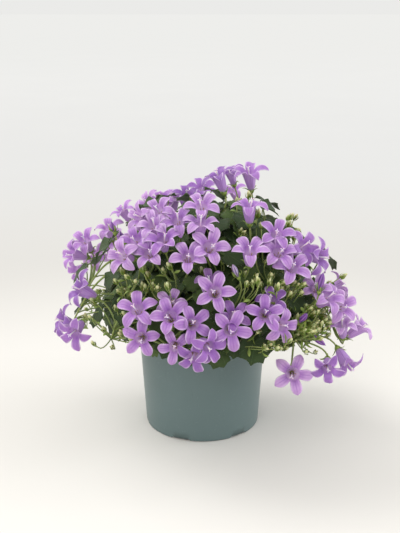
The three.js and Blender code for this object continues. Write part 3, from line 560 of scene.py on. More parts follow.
def bell_points(lift, curl, twist, length):
    """Bells in millimetres on their own axes, one for each row of lobe values.

    The tube's radius grows as the height to the 0.85, drawn in at the foot and ribbed along each lobe. Past
    the throat the height is rise * b - fall * b^2, for b from 0 to 1 along the lobe. Each lobe then turns by
    its lift about the throat, and the whole is set at its lobe's angle round the axis.
    """
    lift, curl, twist, length = (values[:, BELL_LOBE] for values in (lift, curl, twist, length))
    up = np.minimum(2 * BELL_ALONG, 1)
    beyond = np.maximum(2 * BELL_ALONG - 1, 0)
    drawn_in = np.sqrt(1 - 0.75 * (1 - np.minimum(up / 0.14, 1)) ** 2)
    radius = (TUBE_FOOT + (THROAT_RADIUS - TUBE_FOOT) * up ** 0.85) * drawn_in
    radius = radius + 0.9 * up * (1 - up) * np.cos(np.pi * BELL_ACROSS)
    radius[0] = 0
    around = SECTOR * BELL_ACROSS
    start = radius * np.cos(around)
    step = (LOBE_TIP * length - THROAT_RADIUS) * beyond + (THROAT_RADIUS - start) * beyond
    height = LOBE_RISE * beyond - (LOBE_FALL + curl) * beyond ** 2
    channel = 0.9 * np.abs(BELL_ACROSS) ** 1.6 * np.sin(np.pi * beyond)
    ripple = 0.3 * np.sin(7 * beyond + 9 * twist) * BELL_ACROSS ** 2 * beyond
    height = height + channel + ripple + 1.1 * twist * BELL_ACROSS * beyond
    out = start + step * np.cos(lift) - height * np.sin(lift)
    height = TUBE_LENGTH * up + step * np.sin(lift) + height * np.cos(lift)
    aside = np.where(beyond > 0, lobe_half_width(beyond) / np.sin(SECTOR), radius) * np.sin(around)
    turn = 2 * SECTOR * BELL_LOBE
    return np.stack([out * np.cos(turn) - aside * np.sin(turn),
                     out * np.sin(turn) + aside * np.cos(turn), height], -1)


def on_flowers(local, chosen):
    """Millimetres on own axes to the plant's frame: base + size * (x first + y second + z axis)."""
    turned = np.stack([FIRSTS, np.cross(AXES, FIRSTS), AXES], axis=1)[chosen]
    scale = SIZES[chosen][:, None, None] * MM
    return BASES[chosen][:, None] + scale * np.einsum("fpk,fkc->fpc", local, turned)


print("widest lobe", 2 * LOBE_HALF_WIDTH, "mm")

# %% [markdown]
# Petals are lilac and thin, so that light comes through them. The throat is paler than the lobes, partly its
# own whitish colour and partly painted light for the light that comes through the petals, and it carries a
# faint painted glow for the same light. A darker vein runs up the middle of each lobe with a fainter one on
# either side, and the edges are paler and pinker. At the base of each lobe a violet band is partly the
# flower's own colour and partly painted shade where the lobes leave the throat. All of it follows the two
# numbers of the surface, and each flower's own tone shifts it a little, as on a plant whose flowers opened
# on different days. The outside of the bell is duller, with darker ribs, and its violet is deepened further
# as painted shade.

# %% Petal finish
# deepest violet: partly young flowers' own colour, partly painted shade
LILAC_DEEP_SHADED = (0.17, 0.055, 0.30)
LILAC_YOUNG = (0.40, 0.17, 0.55)
LILAC_OLD = (0.58, 0.32, 0.68)
# the throat's own whitish colour, lightened further as painted light for light through the petals
THROAT_PALE_AND_PAINTED_LIGHT = (0.86, 0.76, 0.92)
VEIN_VIOLET = (0.24, 0.075, 0.43)
EDGE_PINK = (0.74, 0.52, 0.82)
# the outside's duller violet, darkened further as painted shade on backs and tubes
BACK_VIOLET_AND_PAINTED_SHADE = (0.31, 0.165, 0.47)
BACK_RIB = (0.17, 0.07, 0.33)
FOOT_GREEN = (0.42, 0.42, 0.38)
# painted light: a faint emission in the throat that stands in for light coming through the petals
PAINTED_THROAT_GLOW = (0.065, 0.034, 0.082)


def make_petal_finish():
    """Inside and outside of a bell, chosen by which way the surface faces along the flower's axis."""
    recipe = Recipe("petal", Roughness=0.5, Subsurface_Weight=0.45, Subsurface_Scale=0.004,
                    Sheen_Weight=0.15, Emission_Strength=1.0)
    recipe.shader.inputs["Subsurface Radius"].default_value = (1.0, 0.75, 1.0)
    across, along = recipe.across_and_along()
    tone = recipe.tone()
    # low tones take the deepest violet: painted shade on flowers in the mound's shadow, and young flowers'
    # own colour
    flesh = recipe.mix(tone.between(0.0, 0.4), LILAC_DEEP_SHADED, LILAC_YOUNG)
    flesh = recipe.mix(tone.between(0.3, 1.0), flesh, LILAC_OLD)
    flesh = recipe.mix(recipe.noise(90.0) * 0.35, flesh, VEIN_VIOLET)
    in_throat = 1 - along.between(0.20, 0.52)
    # paler throat: partly its own colour, partly painted light
    flesh = recipe.mix(in_throat * (tone * 0.35 + 0.25), flesh, THROAT_PALE_AND_PAINTED_LIGHT)
    # violet band at each lobe's base: the flower's own colour, deepened as painted shade where the lobes
    # meet
    base_violet_and_painted_shade = along.between(0.34, 0.52) * (1 - along.between(0.55, 0.76))
    flesh = recipe.mix(base_violet_and_painted_shade * (1 - across.between(0.3, 0.95)) * 0.55, flesh, VEIN_VIOLET)
    open_part = along.between(0.36, 0.52) * (1 - along.between(0.74, 0.98))
    middle_vein = (1 - across.between(0.02, 0.15)) * open_part * 0.5
    side_vein = (1 - (across - 0.46).size().between(0.01, 0.09)) * open_part * 0.28
    flesh = recipe.mix(middle_vein + side_vein, flesh, VEIN_VIOLET)
    edge = across.between(0.60, 1.0) * along.between(0.55, 0.7) * 0.7
    flesh = recipe.mix(edge, flesh, EDGE_PINK)
    # outside of the bell: its own duller violet, deepened by painted shade
    back = recipe.mix(tone * 0.55, BACK_VIOLET_AND_PAINTED_SHADE, LILAC_OLD)
    ribs = (1 - (across - 0.5).size().between(0.02, 0.2)) * 0.3 + (1 - across.between(0.04, 0.25)) * 0.55
    back = recipe.mix(ribs * (1 - along.between(0.8, 1.0)), back, BACK_RIB)
    back = recipe.mix((1 - along.between(0.0, 0.14)) * 0.6, back, FOOT_GREEN)
    flesh = recipe.mix(recipe.faces_up_its_axis(), back, flesh)
    furrows = (across * 22).wave() * 0.2 + middle_vein
    bumps = recipe.relief(furrows + recipe.noise(700.0) * 0.3, 0.0002, 0.6)
    # painted glow: the throat emits a little light of its own
    painted_glow = recipe.mix(in_throat, (0.0, 0.0, 0.0), PAINTED_THROAT_GLOW)
    return recipe.feed(Base_Color=flesh, Emission_Color=painted_glow, Normal=bumps)


petal_finish = make_petal_finish()
print("nodes in the petals' finish", len(petal_finish.node_tree.nodes))

# %% [markdown]
# A few flowers are deeper violet than the rest: partly the deeper colour of younger flowers, and partly
# painted shade, for they stand where the mound shades them. They are named by where they stand in the
# picture.
# Every bloom node then becomes one piece: all its flowers in one skin. The random values come from one
# seeded generator for each bloom, so a change in one place leaves the rest as it was.

# %% Tones of the flowers
FLOWER_MIDDLE = 16 * MM
MIDDLE_ACROSS = PICTURE_WIDTH / 2
MIDDLE_DOWN = PICTURE_HEIGHT / 2
# flowers painted deeper violet, partly as painted shade, and how near to these places a flower must be
DEEP_SHADED_REACH = 13
DEEP_SHADED_FLOWERS = {
    "far left": (66, 324),
    "left mass": (84, 282),
    "crown left": (221, 178),
    "crown right": (246, 180),
    "half open": (272, 297),
    "right side": (312, 250),
    "hanging right": (348, 362),
    "hanging small": (319, 372),
    "lowest": (203, 358),
    "upper back": (190, 186),
}


def in_picture(points):
    """Where points show in the picture: its middle plus focal length * offset / distance ahead."""
    offset = points - EYE
    ahead = offset @ np.array([0, np.cos(TILT), -np.sin(TILT)])
    above = offset @ np.array([0, np.sin(TILT), np.cos(TILT)])
    return np.stack([MIDDLE_ACROSS + FOCAL_PIXELS * offset[:, 0] / ahead,
                     MIDDLE_DOWN - FOCAL_PIXELS * above / ahead], -1)


flower_places = in_picture(BASES + AXES * SIZES[:, None] * FLOWER_MIDDLE)
deep_shaded_places = np.array(list(DEEP_SHADED_FLOWERS.values()), float)
apart = np.linalg.norm(flower_places[:, None] - deep_shaded_places, axis=2).min(1)
rng = np.random.default_rng(3)
# deep tones: painted shade on the flowers that stand in shade
deep_shaded_tones = rng.uniform(0, 0.3, len(flowers))
FLOWER_TONES = np.where(apart < DEEP_SHADED_REACH, deep_shaded_tones, rng.uniform(0.3, 1, len(flowers)))
print("deep violet flowers", int((apart < DEEP_SHADED_REACH).sum()))

# %% Blooms
PETAL_THICKNESS = 0.35 * MM


def add_bloom(name, node, chosen, seed):
    """All the flowers of one bloom node."""
    rng = np.random.default_rng(seed)
    shape = (len(chosen), LOBES)
    lift = np.radians(rng.normal(0, 7, shape) + rng.normal(0, 5, (len(chosen), 1)))
    curl = rng.uniform(-0.4, 3.4, shape)
    twist = rng.uniform(-1, 1, shape)
    points = bell_points(lift, curl, twist, rng.uniform(0.95, 1.04, shape))
    skin = Skin()
    surface = np.stack([np.abs(BELL_ACROSS), BELL_ALONG], -1)
    skin.add(on_flowers(points, chosen), BELL_QUADS, BELL_TRIANGLES, surface,
             FLOWER_TONES[chosen], AXES[chosen])
    return add_piece(name, skin, petal_finish, [node], PETAL_THICKNESS)


flower_count = 0
for number, node in enumerate(BLOOM_NODES):
    chosen = flower_count + np.arange(len(blooms[node]))
    flower_count += len(chosen)
    add_bloom("petals_" + node, node, chosen, 100 + number)
print("bloom pieces", len(BLOOM_NODES))

# %% [markdown]
# From each throat rises a pale style, longer than the tube, that ends in three curled arms. Round its foot
# lie the five spent stamens, curled and brown, because in this genus they wither as the flower opens.

# %% Styles and stamens
STYLE_LENGTH = 18.5
STYLE_STEPS = 9
STIGMA_ARMS = 3
ARM_RADII = np.array([0.42, 0.40, 0.36, 0.3, 0.15])
STAMEN_RADII = np.array([0.5, 0.3, 0.25, 0.45, 0.4, 0.12])
ALL_FLOWERS = np.arange(len(flowers))


def style_paths(rng):
    """From the flower's floor up its axis, leaning aside as the square of the height."""
    up = np.linspace(0, 1, STYLE_STEPS)
    lean = rng.uniform(-2.2, 2.2, (len(flowers), 1, 2)) * up[None, :, None] ** 2
    height = np.broadcast_to(0.5 + STYLE_LENGTH * up[None, :, None], (len(flowers), STYLE_STEPS, 1))
    return np.concatenate([lean, height], -1)


def arm_paths(ends, index):
    """One of the three stigma arms, out from the style's end and curled down."""
    turn = 2 * np.pi * index / STIGMA_ARMS + np.arange(len(ends))[:, None]
    t = np.linspace(0, 1, 5)[None]
    out = 1.5 * np.sin(1.9 * t)
    height = 0.9 * np.sin(2.6 * t) - 0.2 * t + 0 * turn
    return ends[:, None] + np.stack([out * np.cos(turn), out * np.sin(turn), height], -1)


def stamen_paths(rng, index):
    """One of the five stamens, up from the floor near the wall and hooked inwards."""
    turn = 2 * np.pi * index / LOBES + rng.normal(0, 0.2, (len(flowers), 1))
    t = np.linspace(0, 1, 6)[None]
    out = 1.4 + 1.3 * t + rng.uniform(-0.5, 0.4, (len(flowers), 1)) * t ** 2
    height = 1.0 + rng.uniform(6.5, 9.5, (len(flowers), 1)) * np.sin(1.9 * t)
    return np.stack([out * np.cos(turn), out * np.sin(turn), height], -1)


rng = np.random.default_rng(7)
style_skin = Skin()
style_lines = style_paths(rng)
style_radii = 0.38 + 0.30 * np.linspace(0, 1, STYLE_STEPS) ** 2
add_rods(style_skin, on_flowers(style_lines, ALL_FLOWERS), style_radii * MM, sides=6)
for index in range(STIGMA_ARMS):
    arms = on_flowers(arm_paths(style_lines[:, -1], index), ALL_FLOWERS)
    add_rods(style_skin, arms, ARM_RADII * MM, sides=5, tone=1.0)
stamen_skin = Skin()
for index in range(LOBES):
    lines = on_flowers(stamen_paths(rng, index), ALL_FLOWERS)
    tones = np.random.default_rng(index).uniform(0, 1, len(flowers))
    add_rods(stamen_skin, lines, STAMEN_RADII * MM, sides=5, tone=tones)
print("points in the styles", style_skin.count, "and stamens", stamen_skin.count)

# %% Finishes of styles and stamens
STYLE_TINTS = ((0.72, 0.55, 0.78), (0.88, 0.80, 0.82))
STAMEN_BROWNS = ((0.66, 0.48, 0.34), (0.40, 0.24, 0.17))

style_recipe = Recipe("style_flesh", Roughness=0.45, Subsurface_Weight=0.2, Subsurface_Scale=0.001)
style_tint = style_recipe.mix(style_recipe.across_and_along()[1], *STYLE_TINTS)
style_bumps = style_recipe.relief(style_recipe.noise(2500.0), 0.00005)
style_finish = style_recipe.feed(Base_Color=style_tint, Normal=style_bumps)
stamen_recipe = Recipe("withered_stamen", Roughness=0.8)
stamen_tint = stamen_recipe.mix(stamen_recipe.noise(600.0), *STAMEN_BROWNS)
stamen_bumps = stamen_recipe.relief(stamen_recipe.noise(3000.0), 0.0001)
stamen_finish = stamen_recipe.feed(Base_Color=stamen_tint, Normal=stamen_bumps)
add_piece("styles", style_skin, style_finish)
add_piece("stamens", stamen_skin, stamen_finish)
print("styles", len(flowers), "stamens", LOBES * len(flowers))

# %% [markdown]
# Thirteen leafy stems carry everything. One rises in the middle, and twelve stand in a ring, arch out over
# the rim and hang under the mound. A flower belongs to the stem whose slice of the plan it stands in. Its
# stalk leaves that stem at the point nearest to a place below and behind the flower, and it meets the
# calyx along the flower's own axis, so that it bends like a neck.

# %% Main stems
DOME_CENTRE = np.array([4.0, 0.0, 92.0]) * MM
DOME_HALF = np.array([130.0, 108.0, 122.0]) * MM
SLICES = 12
CROWN_RADIUS = 31.0 * MM
ROOT_OUT = 38.0
ROOT_HEIGHT = 78.3
CROWN_TOP = 165
ARCH_HEIGHTS = (92, 142, 158, 98)
STEM_STEPS = 33
STEM_RADII = (1.35, 0.7)
STALK_RADII = (0.8, 0.6)
CALYX_SEAT = 0.5 * MM
NECK = 14.0 * MM


def middle_stem():
    """The stem of the crown, almost straight up."""
    heights = np.linspace(ROOT_HEIGHT, CROWN_TOP, STEM_STEPS)
    sway = 1.5 * np.sin(np.pi * (heights - ROOT_HEIGHT) / (CROWN_TOP - ROOT_HEIGHT)) ** 2
    return np.stack([sway, -0.7 * sway, heights], -1) * MM


def outer_stems():
    """Up from the soil, then a cubic arch to 0.83 of the mound's reach, in the middle of each slice."""
    turn = 2 * np.pi * (np.arange(SLICES) + 0.5) / SLICES
    outward = np.stack([np.cos(turn), np.sin(turn), 0 * turn], -1)
    wide, deep = DOME_HALF[:2] / MM
    reach = (wide * deep / np.hypot(deep * np.cos(turn), wide * np.sin(turn)))[:, None]
    start, leave, arrive, end = (height * UP for height in ARCH_HEIGHTS)
    arch = bend(ROOT_OUT * outward + start, (ROOT_OUT + 8) * outward + leave,
                0.6 * reach * outward + arrive, 0.83 * reach * outward + end, STEM_STEPS - 1)
    return np.concatenate([(ROOT_OUT * outward + ROOT_HEIGHT * UP)[:, None], arch], axis=1) * MM


def slice_of(points):
    """0 in the crown, else 1 to 12 round the plan."""
    turn = np.arctan2(points[:, 1], points[:, 0]) / (2 * np.pi) % 1
    in_crown = np.hypot(points[:, 0], points[:, 1]) < CROWN_RADIUS
    return np.where(in_crown, 0, 1 + (turn * SLICES).astype(int))


STEM_PATHS = np.concatenate([middle_stem()[None], outer_stems()])
print("main stems", len(STEM_PATHS), "of", STEM_STEPS, "points")

# %% Stalks of the flowers


def nearest_on_stem(points, stems, first=6):
    """The places on the given stems that lie nearest to the points."""
    paths = STEM_PATHS[stems][:, first:]
    nearest = np.argmin(np.linalg.norm(paths - points[:, None], axis=2), axis=1)
    return paths[np.arange(len(points)), nearest]


def stalk_paths(ends, axes, stems, neck, steps=9):
    """From the stem to each end, which is reached along its axis."""
    starts = nearest_on_stem(ends - axes * 8 * MM - UP * 14 * MM, stems)
    span = np.linalg.norm(ends - starts, axis=1, keepdims=True)
    elbows = ends - axes * np.minimum(neck, 0.45 * span)
    return bend(starts, starts + 0.6 * (elbows - starts), elbows, ends, steps)


calyx_places = BASES - AXES * SIZES[:, None] * CALYX_SEAT
FLOWER_STEMS = slice_of(calyx_places)
stem_skins = [Skin() for _ in STEM_NODES]
flower_stalks = stalk_paths(calyx_places, AXES, FLOWER_STEMS, NECK)
for number, skin in enumerate(stem_skins):
    add_rods(skin, STEM_PATHS[number:number + 1], np.linspace(*STEM_RADII, STEM_STEPS) * MM, sides=8)
    mine = flower_stalks[FLOWER_STEMS == number]
    if len(mine):
        add_rods(skin, mine, np.linspace(*STALK_RADII, mine.shape[1]) * MM, sides=6, tone=0.7)
print("stalks", len(flower_stalks))

# %% [markdown]
# Behind each flower sits a small green cup with five narrow sepals, which stand between the lobes and curl
# away from the tube.

# %% Calyxes
CUP_PROFILE = np.array([0.65, 1.15, 1.85, 2.35, 2.5, 2.1])
CUP_HEIGHTS = np.linspace(-3.4, 0.7, len(CUP_PROFILE))
SEPAL_HALF_WIDTHS = np.array([0.85, 0.95, 0.85, 0.65, 0.4, 0.1])


def cup_paths(count):
    """Straight lines up the axis, round which the cup's profile is turned."""
    line = np.stack([0 * CUP_HEIGHTS, 0 * CUP_HEIGHTS, CUP_HEIGHTS], -1)
    return np.broadcast_to(line, (count, len(CUP_HEIGHTS), 3))


def sepal_paths(rng, index, count):
    """Out and up from the cup's rim, then curled over: height = lift * sin(bend * t)."""
    turn = 2 * np.pi * (index + 0.5) / LOBES + rng.normal(0, 0.12, (count, 1))
    t = np.linspace(0, 1, len(SEPAL_HALF_WIDTHS))[None]
    out = 2.0 + rng.uniform(3.4, 4.8, (count, 1)) * t
    height = rng.uniform(1.4, 3.4, (count, 1)) * np.sin(rng.uniform(1.6, 2.8, (count, 1)) * t)
    return np.stack([out * np.cos(turn), out * np.sin(turn), height], -1)


rng = np.random.default_rng(21)
calyx_skin = Skin()
cups = on_flowers(cup_paths(len(flowers)), ALL_FLOWERS)
add_rods(calyx_skin, cups, CUP_PROFILE * MM, sides=10, tone=0.3)
for index in range(LOBES):
    lines = on_flowers(sepal_paths(rng, index, len(flowers)), ALL_FLOWERS)
    tones = rng.uniform(0, 1, len(flowers))
    add_rods(calyx_skin, lines, SEPAL_HALF_WIDTHS * MM, sides=6, tone=tones, flatness=0.3)
print("sepals", LOBES * len(flowers))

# %% [markdown]
# The leaves are broad and round to heart-shaped, with about ten sharp teeth, and each hangs from a long
# petiole. The solids hold the outermost ones as seven points round a notch, so a leaf can be found again:
# the distances from its notch to those points stand in a fixed proportion. The buds in the solids are found
# in a like way, because four edges of one length meet in each tip.

# %% Find the leaves and buds in their solids
NOTCH_TO_TIP = 1.4
LEAF_MIDDLE = 0.4
LAST_TOOTH = np.radians(158.0)
SOLID_TEETH = LAST_TOOTH * np.arange(1, 4) / 3
SOLID_REACH = np.array([0.84, 1.0, 0.84])
SOLID_FOLD = 0.16
SMALLEST_LEAF = 7 * MM
BUD_LENGTH = 7.5 * MM
BUD_SHOULDER = np.hypot(2.0 * MM, 0.45 * BUD_LENGTH)


def neighbours_of(faces, count):
    """For each point, the points that share an edge with it."""
    edges = np.unique(np.sort(np.concatenate([faces[:, :2], faces[:, 1:], faces[:, ::2]]), axis=1), axis=0)
    both = np.concatenate([edges, edges[:, ::-1]])
    both = both[np.argsort(both[:, 0], kind="stable")]
    return np.split(both[:, 1], np.cumsum(np.bincount(both[:, 0], minlength=count))[:-1])


def leaf_at(notch, around):
    """The leaf whose notch this point is, or None. Each of the three distances has a pair of points."""
    aside = SOLID_REACH * np.sin(SOLID_TEETH)
    ahead = SOLID_REACH * np.cos(SOLID_TEETH) + LEAF_MIDDLE
    expected = np.sqrt(ahead ** 2 + aside ** 2 * (1 + SOLID_FOLD ** 2))
    reach = np.linalg.norm(around - notch, axis=1)
    radius = reach.max() / NOTCH_TO_TIP
    pairs = [around[np.abs(reach - one * radius) < 0.01 * radius] for one in expected]
    if radius < SMALLEST_LEAF or min(len(pair) for pair in pairs) < 2:
        return None
    tip = unit(around[np.argmax(reach)] - notch)
    side = unit(pairs[0][1] - pairs[0][0])
    facing = np.cross(tip, side)
    return notch, tip, facing * np.sign(facing[2]), radius


def find_leaves_and_buds(node):
    """Leaves as notch, tip direction, normal and radius, and buds as base and axis."""
    points, faces = welded(node)
    leaves, buds = [], []
    for index, near in enumerate(neighbours_of(faces, len(points))):
        leaf = leaf_at(points[index], points[near]) if len(near) > 6 else None
        if leaf and not any(np.linalg.norm(leaf[0] - other[0]) < 1.5 * MM for other in leaves):
            leaves.append(leaf)
        reach = np.linalg.norm(points[near] - points[index], axis=1)
        if len(near) == 4 and np.ptp(reach) < 0.02 * MM and abs(reach.mean() - BUD_SHOULDER) < 0.05 * MM:
            axis = unit(points[index] - points[near].mean(0))
            buds.append((points[index] - axis * BUD_LENGTH, axis))
    return leaves, buds


solid_leaves, solid_buds, leaf_stems = [], [], []
for number, node in enumerate(STEM_NODES):
    leaves, buds = find_leaves_and_buds(node)
    solid_leaves += leaves
    solid_buds += buds
    leaf_stems += [number] * len(leaves)
print("leaves found", len(solid_leaves), "buds found", len(solid_buds))

# %% [markdown]
# A blade is drawn round the end of its petiole: the reach to its edge changes with the angle from the tip,
# falls to a notch behind, and has teeth cut into it. The blade folds a little along its middle, its edge
# waves and its tip hangs. Behind the leaves of the solids the mound is full of more. They stand on shells of
# the mound by the golden angle, face out and up, and each takes the outermost shell on which it is clear of
# every flower and of the pot.

# %% Leaf blades
TEETH = 10
TOOTH_DEPTH = 0.15
NOTCH_DEPTH = 0.6
NOTCH_WIDTH = 0.28


def blade_grid(rings, columns):
    """Angle from the tip and share of the reach, for the petiole's end and then ring by ring."""
    angle = np.tile(np.pi - 2 * np.pi * np.arange(columns) / columns, rings)
    share = np.repeat(np.arange(1, rings + 1) / rings, columns)
    column = np.arange(columns)
    fan = np.stack([0 * column, (column + 1) % columns + 1, column + 1], -1)
    return np.r_[0, angle], np.r_[0, share], grid_quads(rings, columns, True) + 1, fan


def blade_reach(angle):
    """From the petiole's end to the edge, for a radius of 1: 0.97 + 0.43 cos a, so 1.4 at the tip."""
    return 0.97 + 0.43 * np.cos(angle)


def blade_points(leaves, angle, share, rng):
    """The blade's reach times its radius, less 15% between teeth and 60% at the notch behind.

    The height adds a fold along the middle, a wave round the edge, and a droop towards the tip.
    """
    notch, tip, facing, radius = leaves
    waves = rng.uniform(0, 2 * np.pi, (len(notch), 1))
    between_teeth = TOOTH_DEPTH * np.abs(np.sin(angle * TEETH / 2)) ** 0.8 * share ** 4
    at_notch = NOTCH_DEPTH * np.exp(-((np.pi - np.abs(angle)) / NOTCH_WIDTH) ** 2)
    plan = blade_reach(angle) * (1 - between_teeth) * (1 - at_notch) * share
    ahead = radius[:, None] * plan * np.cos(angle)
    aside = radius[:, None] * plan * np.sin(angle)
    fold = rng.uniform(0.0, 0.3, (len(notch), 1)) * np.abs(plan * np.sin(angle)) ** 1.6
    wave = (0.10 * np.sin(3 * angle + waves) + 0.05 * np.cos(5 * angle)) * share ** 3
    droop = rng.uniform(0.05, 0.4, (len(notch), 1)) * (plan * np.cos(angle)) ** 2 * np.sign(ahead)
    height = radius[:, None] * (fold + wave - droop)
    side = np.cross(facing, tip)
    along_tip = ahead[..., None] * tip[:, None] + aside[..., None] * side[:, None]
    return notch[:, None] + along_tip + height[..., None] * facing[:, None]


def add_blades(skin, leaves, rings, columns, lightest, rng):
    """Adds blades to a skin, and gives each edge point with its direction away from the petiole.

    A blade's surface place is its point in its own plane, round the petiole's end.
    """
    angle, share, quads, triangles = blade_grid(rings, columns)
    reach = 0.5 * blade_reach(angle) / NOTCH_TO_TIP * share
    surface = np.stack([0.5 + reach * np.sin(angle), 0.5 + reach * np.cos(angle)], -1)
    tones = rng.uniform(0, lightest, len(leaves[0]))
    points = blade_points(leaves, angle, share, rng)
    skin.add(points, quads, triangles, surface, tones, leaves[2])
    rim = points[:, -columns:]
    return np.stack([rim, unit(rim - points[:, :1])], axis=2).reshape(-1, 2, 3)


def facing_out(out, lean, twist):
    """Blades that face outward and up: the facing, and the tip's direction, which hangs and is twisted."""
    facing = unit(out + lean[:, None] * UP)
    down = unit(-UP + facing * facing[:, 2:])
    aside = np.cross(facing, down)
    return facing, np.cos(twist)[:, None] * down + np.sin(twist)[:, None] * aside


print("teeth", TEETH)

# %% Places that are taken
LOWEST_PIECE = 46.0 * MM
POT_CLEARANCE = 2.0
FLOWER_CLEARANCE = 0.8
TUBE_TOP = 12.8
STAR_TOP = 19.5
STAR_REACH = 13.6


def in_flower(points):
    """Where points stand inside a flower's tube, a cone of 2.6 + 0.3 height, or under its open star."""
    offset = (points[:, None] - BASES[None]) / (SIZES[None, :, None] * MM)
    height = np.einsum("pfk,fk->pf", offset, AXES)
    out = np.linalg.norm(offset - height[..., None] * AXES[None], axis=2)
    reach = np.where(height < TUBE_TOP, 2.6 + 0.3 * height, STAR_REACH)
    return np.any((height > -1.5) & (height < STAR_TOP) & (out < reach + FLOWER_CLEARANCE), axis=1)


def in_pot(points):
    """Where points stand in or just beside the pot, or lower than anything on the plant hangs."""
    out = np.hypot(points[:, 0], points[:, 1])
    beside = (out < (RIM_OUT + POT_CLEARANCE) * MM) & (points[:, 2] < (POT_TOP + POT_CLEARANCE) * MM)
    return beside | (points[:, 2] < LOWEST_PIECE)


solid_parts = tuple(np.array([leaf[part] for leaf in solid_leaves]) for part in range(4))
print("leaves of the solids that start in a flower", int(in_flower(solid_parts[0]).sum()))

# %% Leaves behind the solid ones
GOLDEN_ANGLE = np.pi * (3 - np.sqrt(5))
HIDDEN_LEAVES = 420
CROWN_LEAVES = 160
SHELLS = np.linspace(0.76, 0.34, 13)
LEFT_DRAWN_IN = 0.16
RIGHT_DRAWN_IN = 0.10
LOWEST_LEAF = 84.0 * MM
LEAF_SPACING = 7.5 * MM


def crowd_of_leaves(count, lowest, highest, seed):
    """Golden-angle directions, each with the outermost shell on which its leaf is clear."""
    rng = np.random.default_rng(seed)
    order = (np.arange(count) + 0.5) / count
    rise = lowest + (highest - lowest) * order
    turn = GOLDEN_ANGLE * np.arange(count)
    level = np.sqrt(1 - rise ** 2)
    out = np.stack([level * np.cos(turn), level * np.sin(turn), rise], -1)
    radius = rng.uniform(6.5, 11.5, count) * MM
    ways = out + rng.normal(0, 0.22, out.shape)
    facing, tip = facing_out(ways, rng.uniform(0.1, 1.1, count), rng.normal(0, 0.7, count))
    jitter = rng.uniform(-0.07, 0.05, count)
    angle = np.linspace(-np.pi, np.pi, 9)
    aside, ahead = np.sin(angle), np.cos(angle) + LEAF_MIDDLE
    notch = np.zeros((count, 3))
    placed = np.zeros(count, bool)
    drawn_in = np.where(out[:, 0] < 0, LEFT_DRAWN_IN, RIGHT_DRAWN_IN) * np.abs(out[:, 0]) ** 1.5
    for shell in SHELLS:
        centre = DOME_CENTRE + (shell + jitter - drawn_in)[:, None] * out * DOME_HALF
        seat = centre - LEAF_MIDDLE * radius[:, None] * tip
        side = np.cross(facing, tip)
        spread = ahead[:, None] * tip[:, None] + aside[:, None] * side[:, None]
        rim = seat[:, None] + radius[:, None, None] * spread
        probes = np.concatenate([rim, centre[:, None]], axis=1)
        bad = (in_flower(probes.reshape(-1, 3)) | in_pot(probes.reshape(-1, 3))).reshape(count, -1).any(1)
        fits = ~bad & ~placed & (centre[:, 2] > LOWEST_LEAF)
        notch[fits] = seat[fits]
        placed |= fits
    return notch[placed], tip[placed], facing[placed], radius[placed]


def thinned(leaves, kept, spacing):
    """Drops each leaf whose middle is too near to one that is already there."""
    notch, tip, facing, radius = leaves
    middles = notch + LEAF_MIDDLE * radius[:, None] * tip
    taken, chosen = list(kept), []
    for index, middle in enumerate(middles):
        if min(np.linalg.norm(middle - other) for other in taken) > spacing:
            taken.append(middle)
            chosen.append(index)
    return tuple(values[chosen] for values in leaves)


solid_middles = solid_parts[0] + LEAF_MIDDLE * solid_parts[3][:, None] * solid_parts[1]
crowds = crowd_of_leaves(HIDDEN_LEAVES, -0.06, 0.94, 5), crowd_of_leaves(CROWN_LEAVES, 0.72, 1.0, 6)
more_leaves = tuple(np.concatenate(parts) for parts in zip(*crowds))
more_leaves = thinned(more_leaves, solid_middles, LEAF_SPACING)
print("more leaves", len(more_leaves[0]))

# %% [markdown]
# Leaves are dark green above and paler below, with fine pale veins that run from the notch like the fingers
# of a hand. Some are younger and lighter. They shine a little where the light grazes them.

# %% Leaf and stem finishes
LEAF_DARK = (0.015, 0.035, 0.009)
LEAF_LIGHT = (0.082, 0.135, 0.028)
LEAF_BACK = (0.105, 0.155, 0.065)
LEAF_VEIN = (0.13, 0.20, 0.07)


def make_leaf_finish():
    """Veins lie where sin(4 a) * distance is near 0, and branch as waves of the distance."""
    recipe = Recipe("leaf", Subsurface_Weight=0.06, Subsurface_Scale=0.001, Specular_IOR_Level=0.3)
    across, along = recipe.across_and_along()
    aside = across - 0.5
    ahead = along - 0.5
    angle = recipe.node("ShaderNodeMath", {"operation": "ARCTAN2"}, {0: aside, 1: ahead})
    distance = (aside * aside + ahead * ahead) ** 0.5
    from_vein = (angle * 4).wave().size()
    main_vein = (1 - (from_vein * distance).between(0.003, 0.022)) * distance.between(0.0, 0.12)
    branch = (distance * 75 + from_vein * 6).wave().size()
    small_vein = (1 - branch.between(0.0, 0.3)) * 0.35
    veins = main_vein.larger(small_vein)
    cloud = recipe.noise(160.0)
    flesh = recipe.mix((recipe.tone() ** 2) * 0.75 + cloud * 0.25, LEAF_DARK, LEAF_LIGHT)
    flesh = recipe.mix(veins * 0.5, flesh, LEAF_VEIN)
    flesh = recipe.mix(recipe.faces_up_its_axis(), LEAF_BACK, flesh)
    shine = cloud * 0.25 + 0.44
    bumps = recipe.relief(cloud * 0.5 - veins * 0.8, 0.0003, 0.7)
    return recipe.feed(Base_Color=flesh, Roughness=shine, Normal=bumps)


def make_stem_finish(name, low_colour, high_colour):
    """A green that goes from the low colour to the high one along each stalk."""
    recipe = Recipe(name, Roughness=0.5, Subsurface_Weight=0.1, Subsurface_Scale=0.001)
    along = recipe.across_and_along()[1]
    tint = recipe.mix(along * 0.6 + recipe.noise(200.0) * 0.5, low_colour, high_colour)
    bumps = recipe.relief(recipe.noise(1500.0), 0.0001)
    return recipe.feed(Base_Color=tint, Normal=bumps)


STEM_GREENS = ((0.10, 0.16, 0.03), (0.33, 0.40, 0.11))
CALYX_GREENS = ((0.10, 0.18, 0.03), (0.32, 0.42, 0.085))

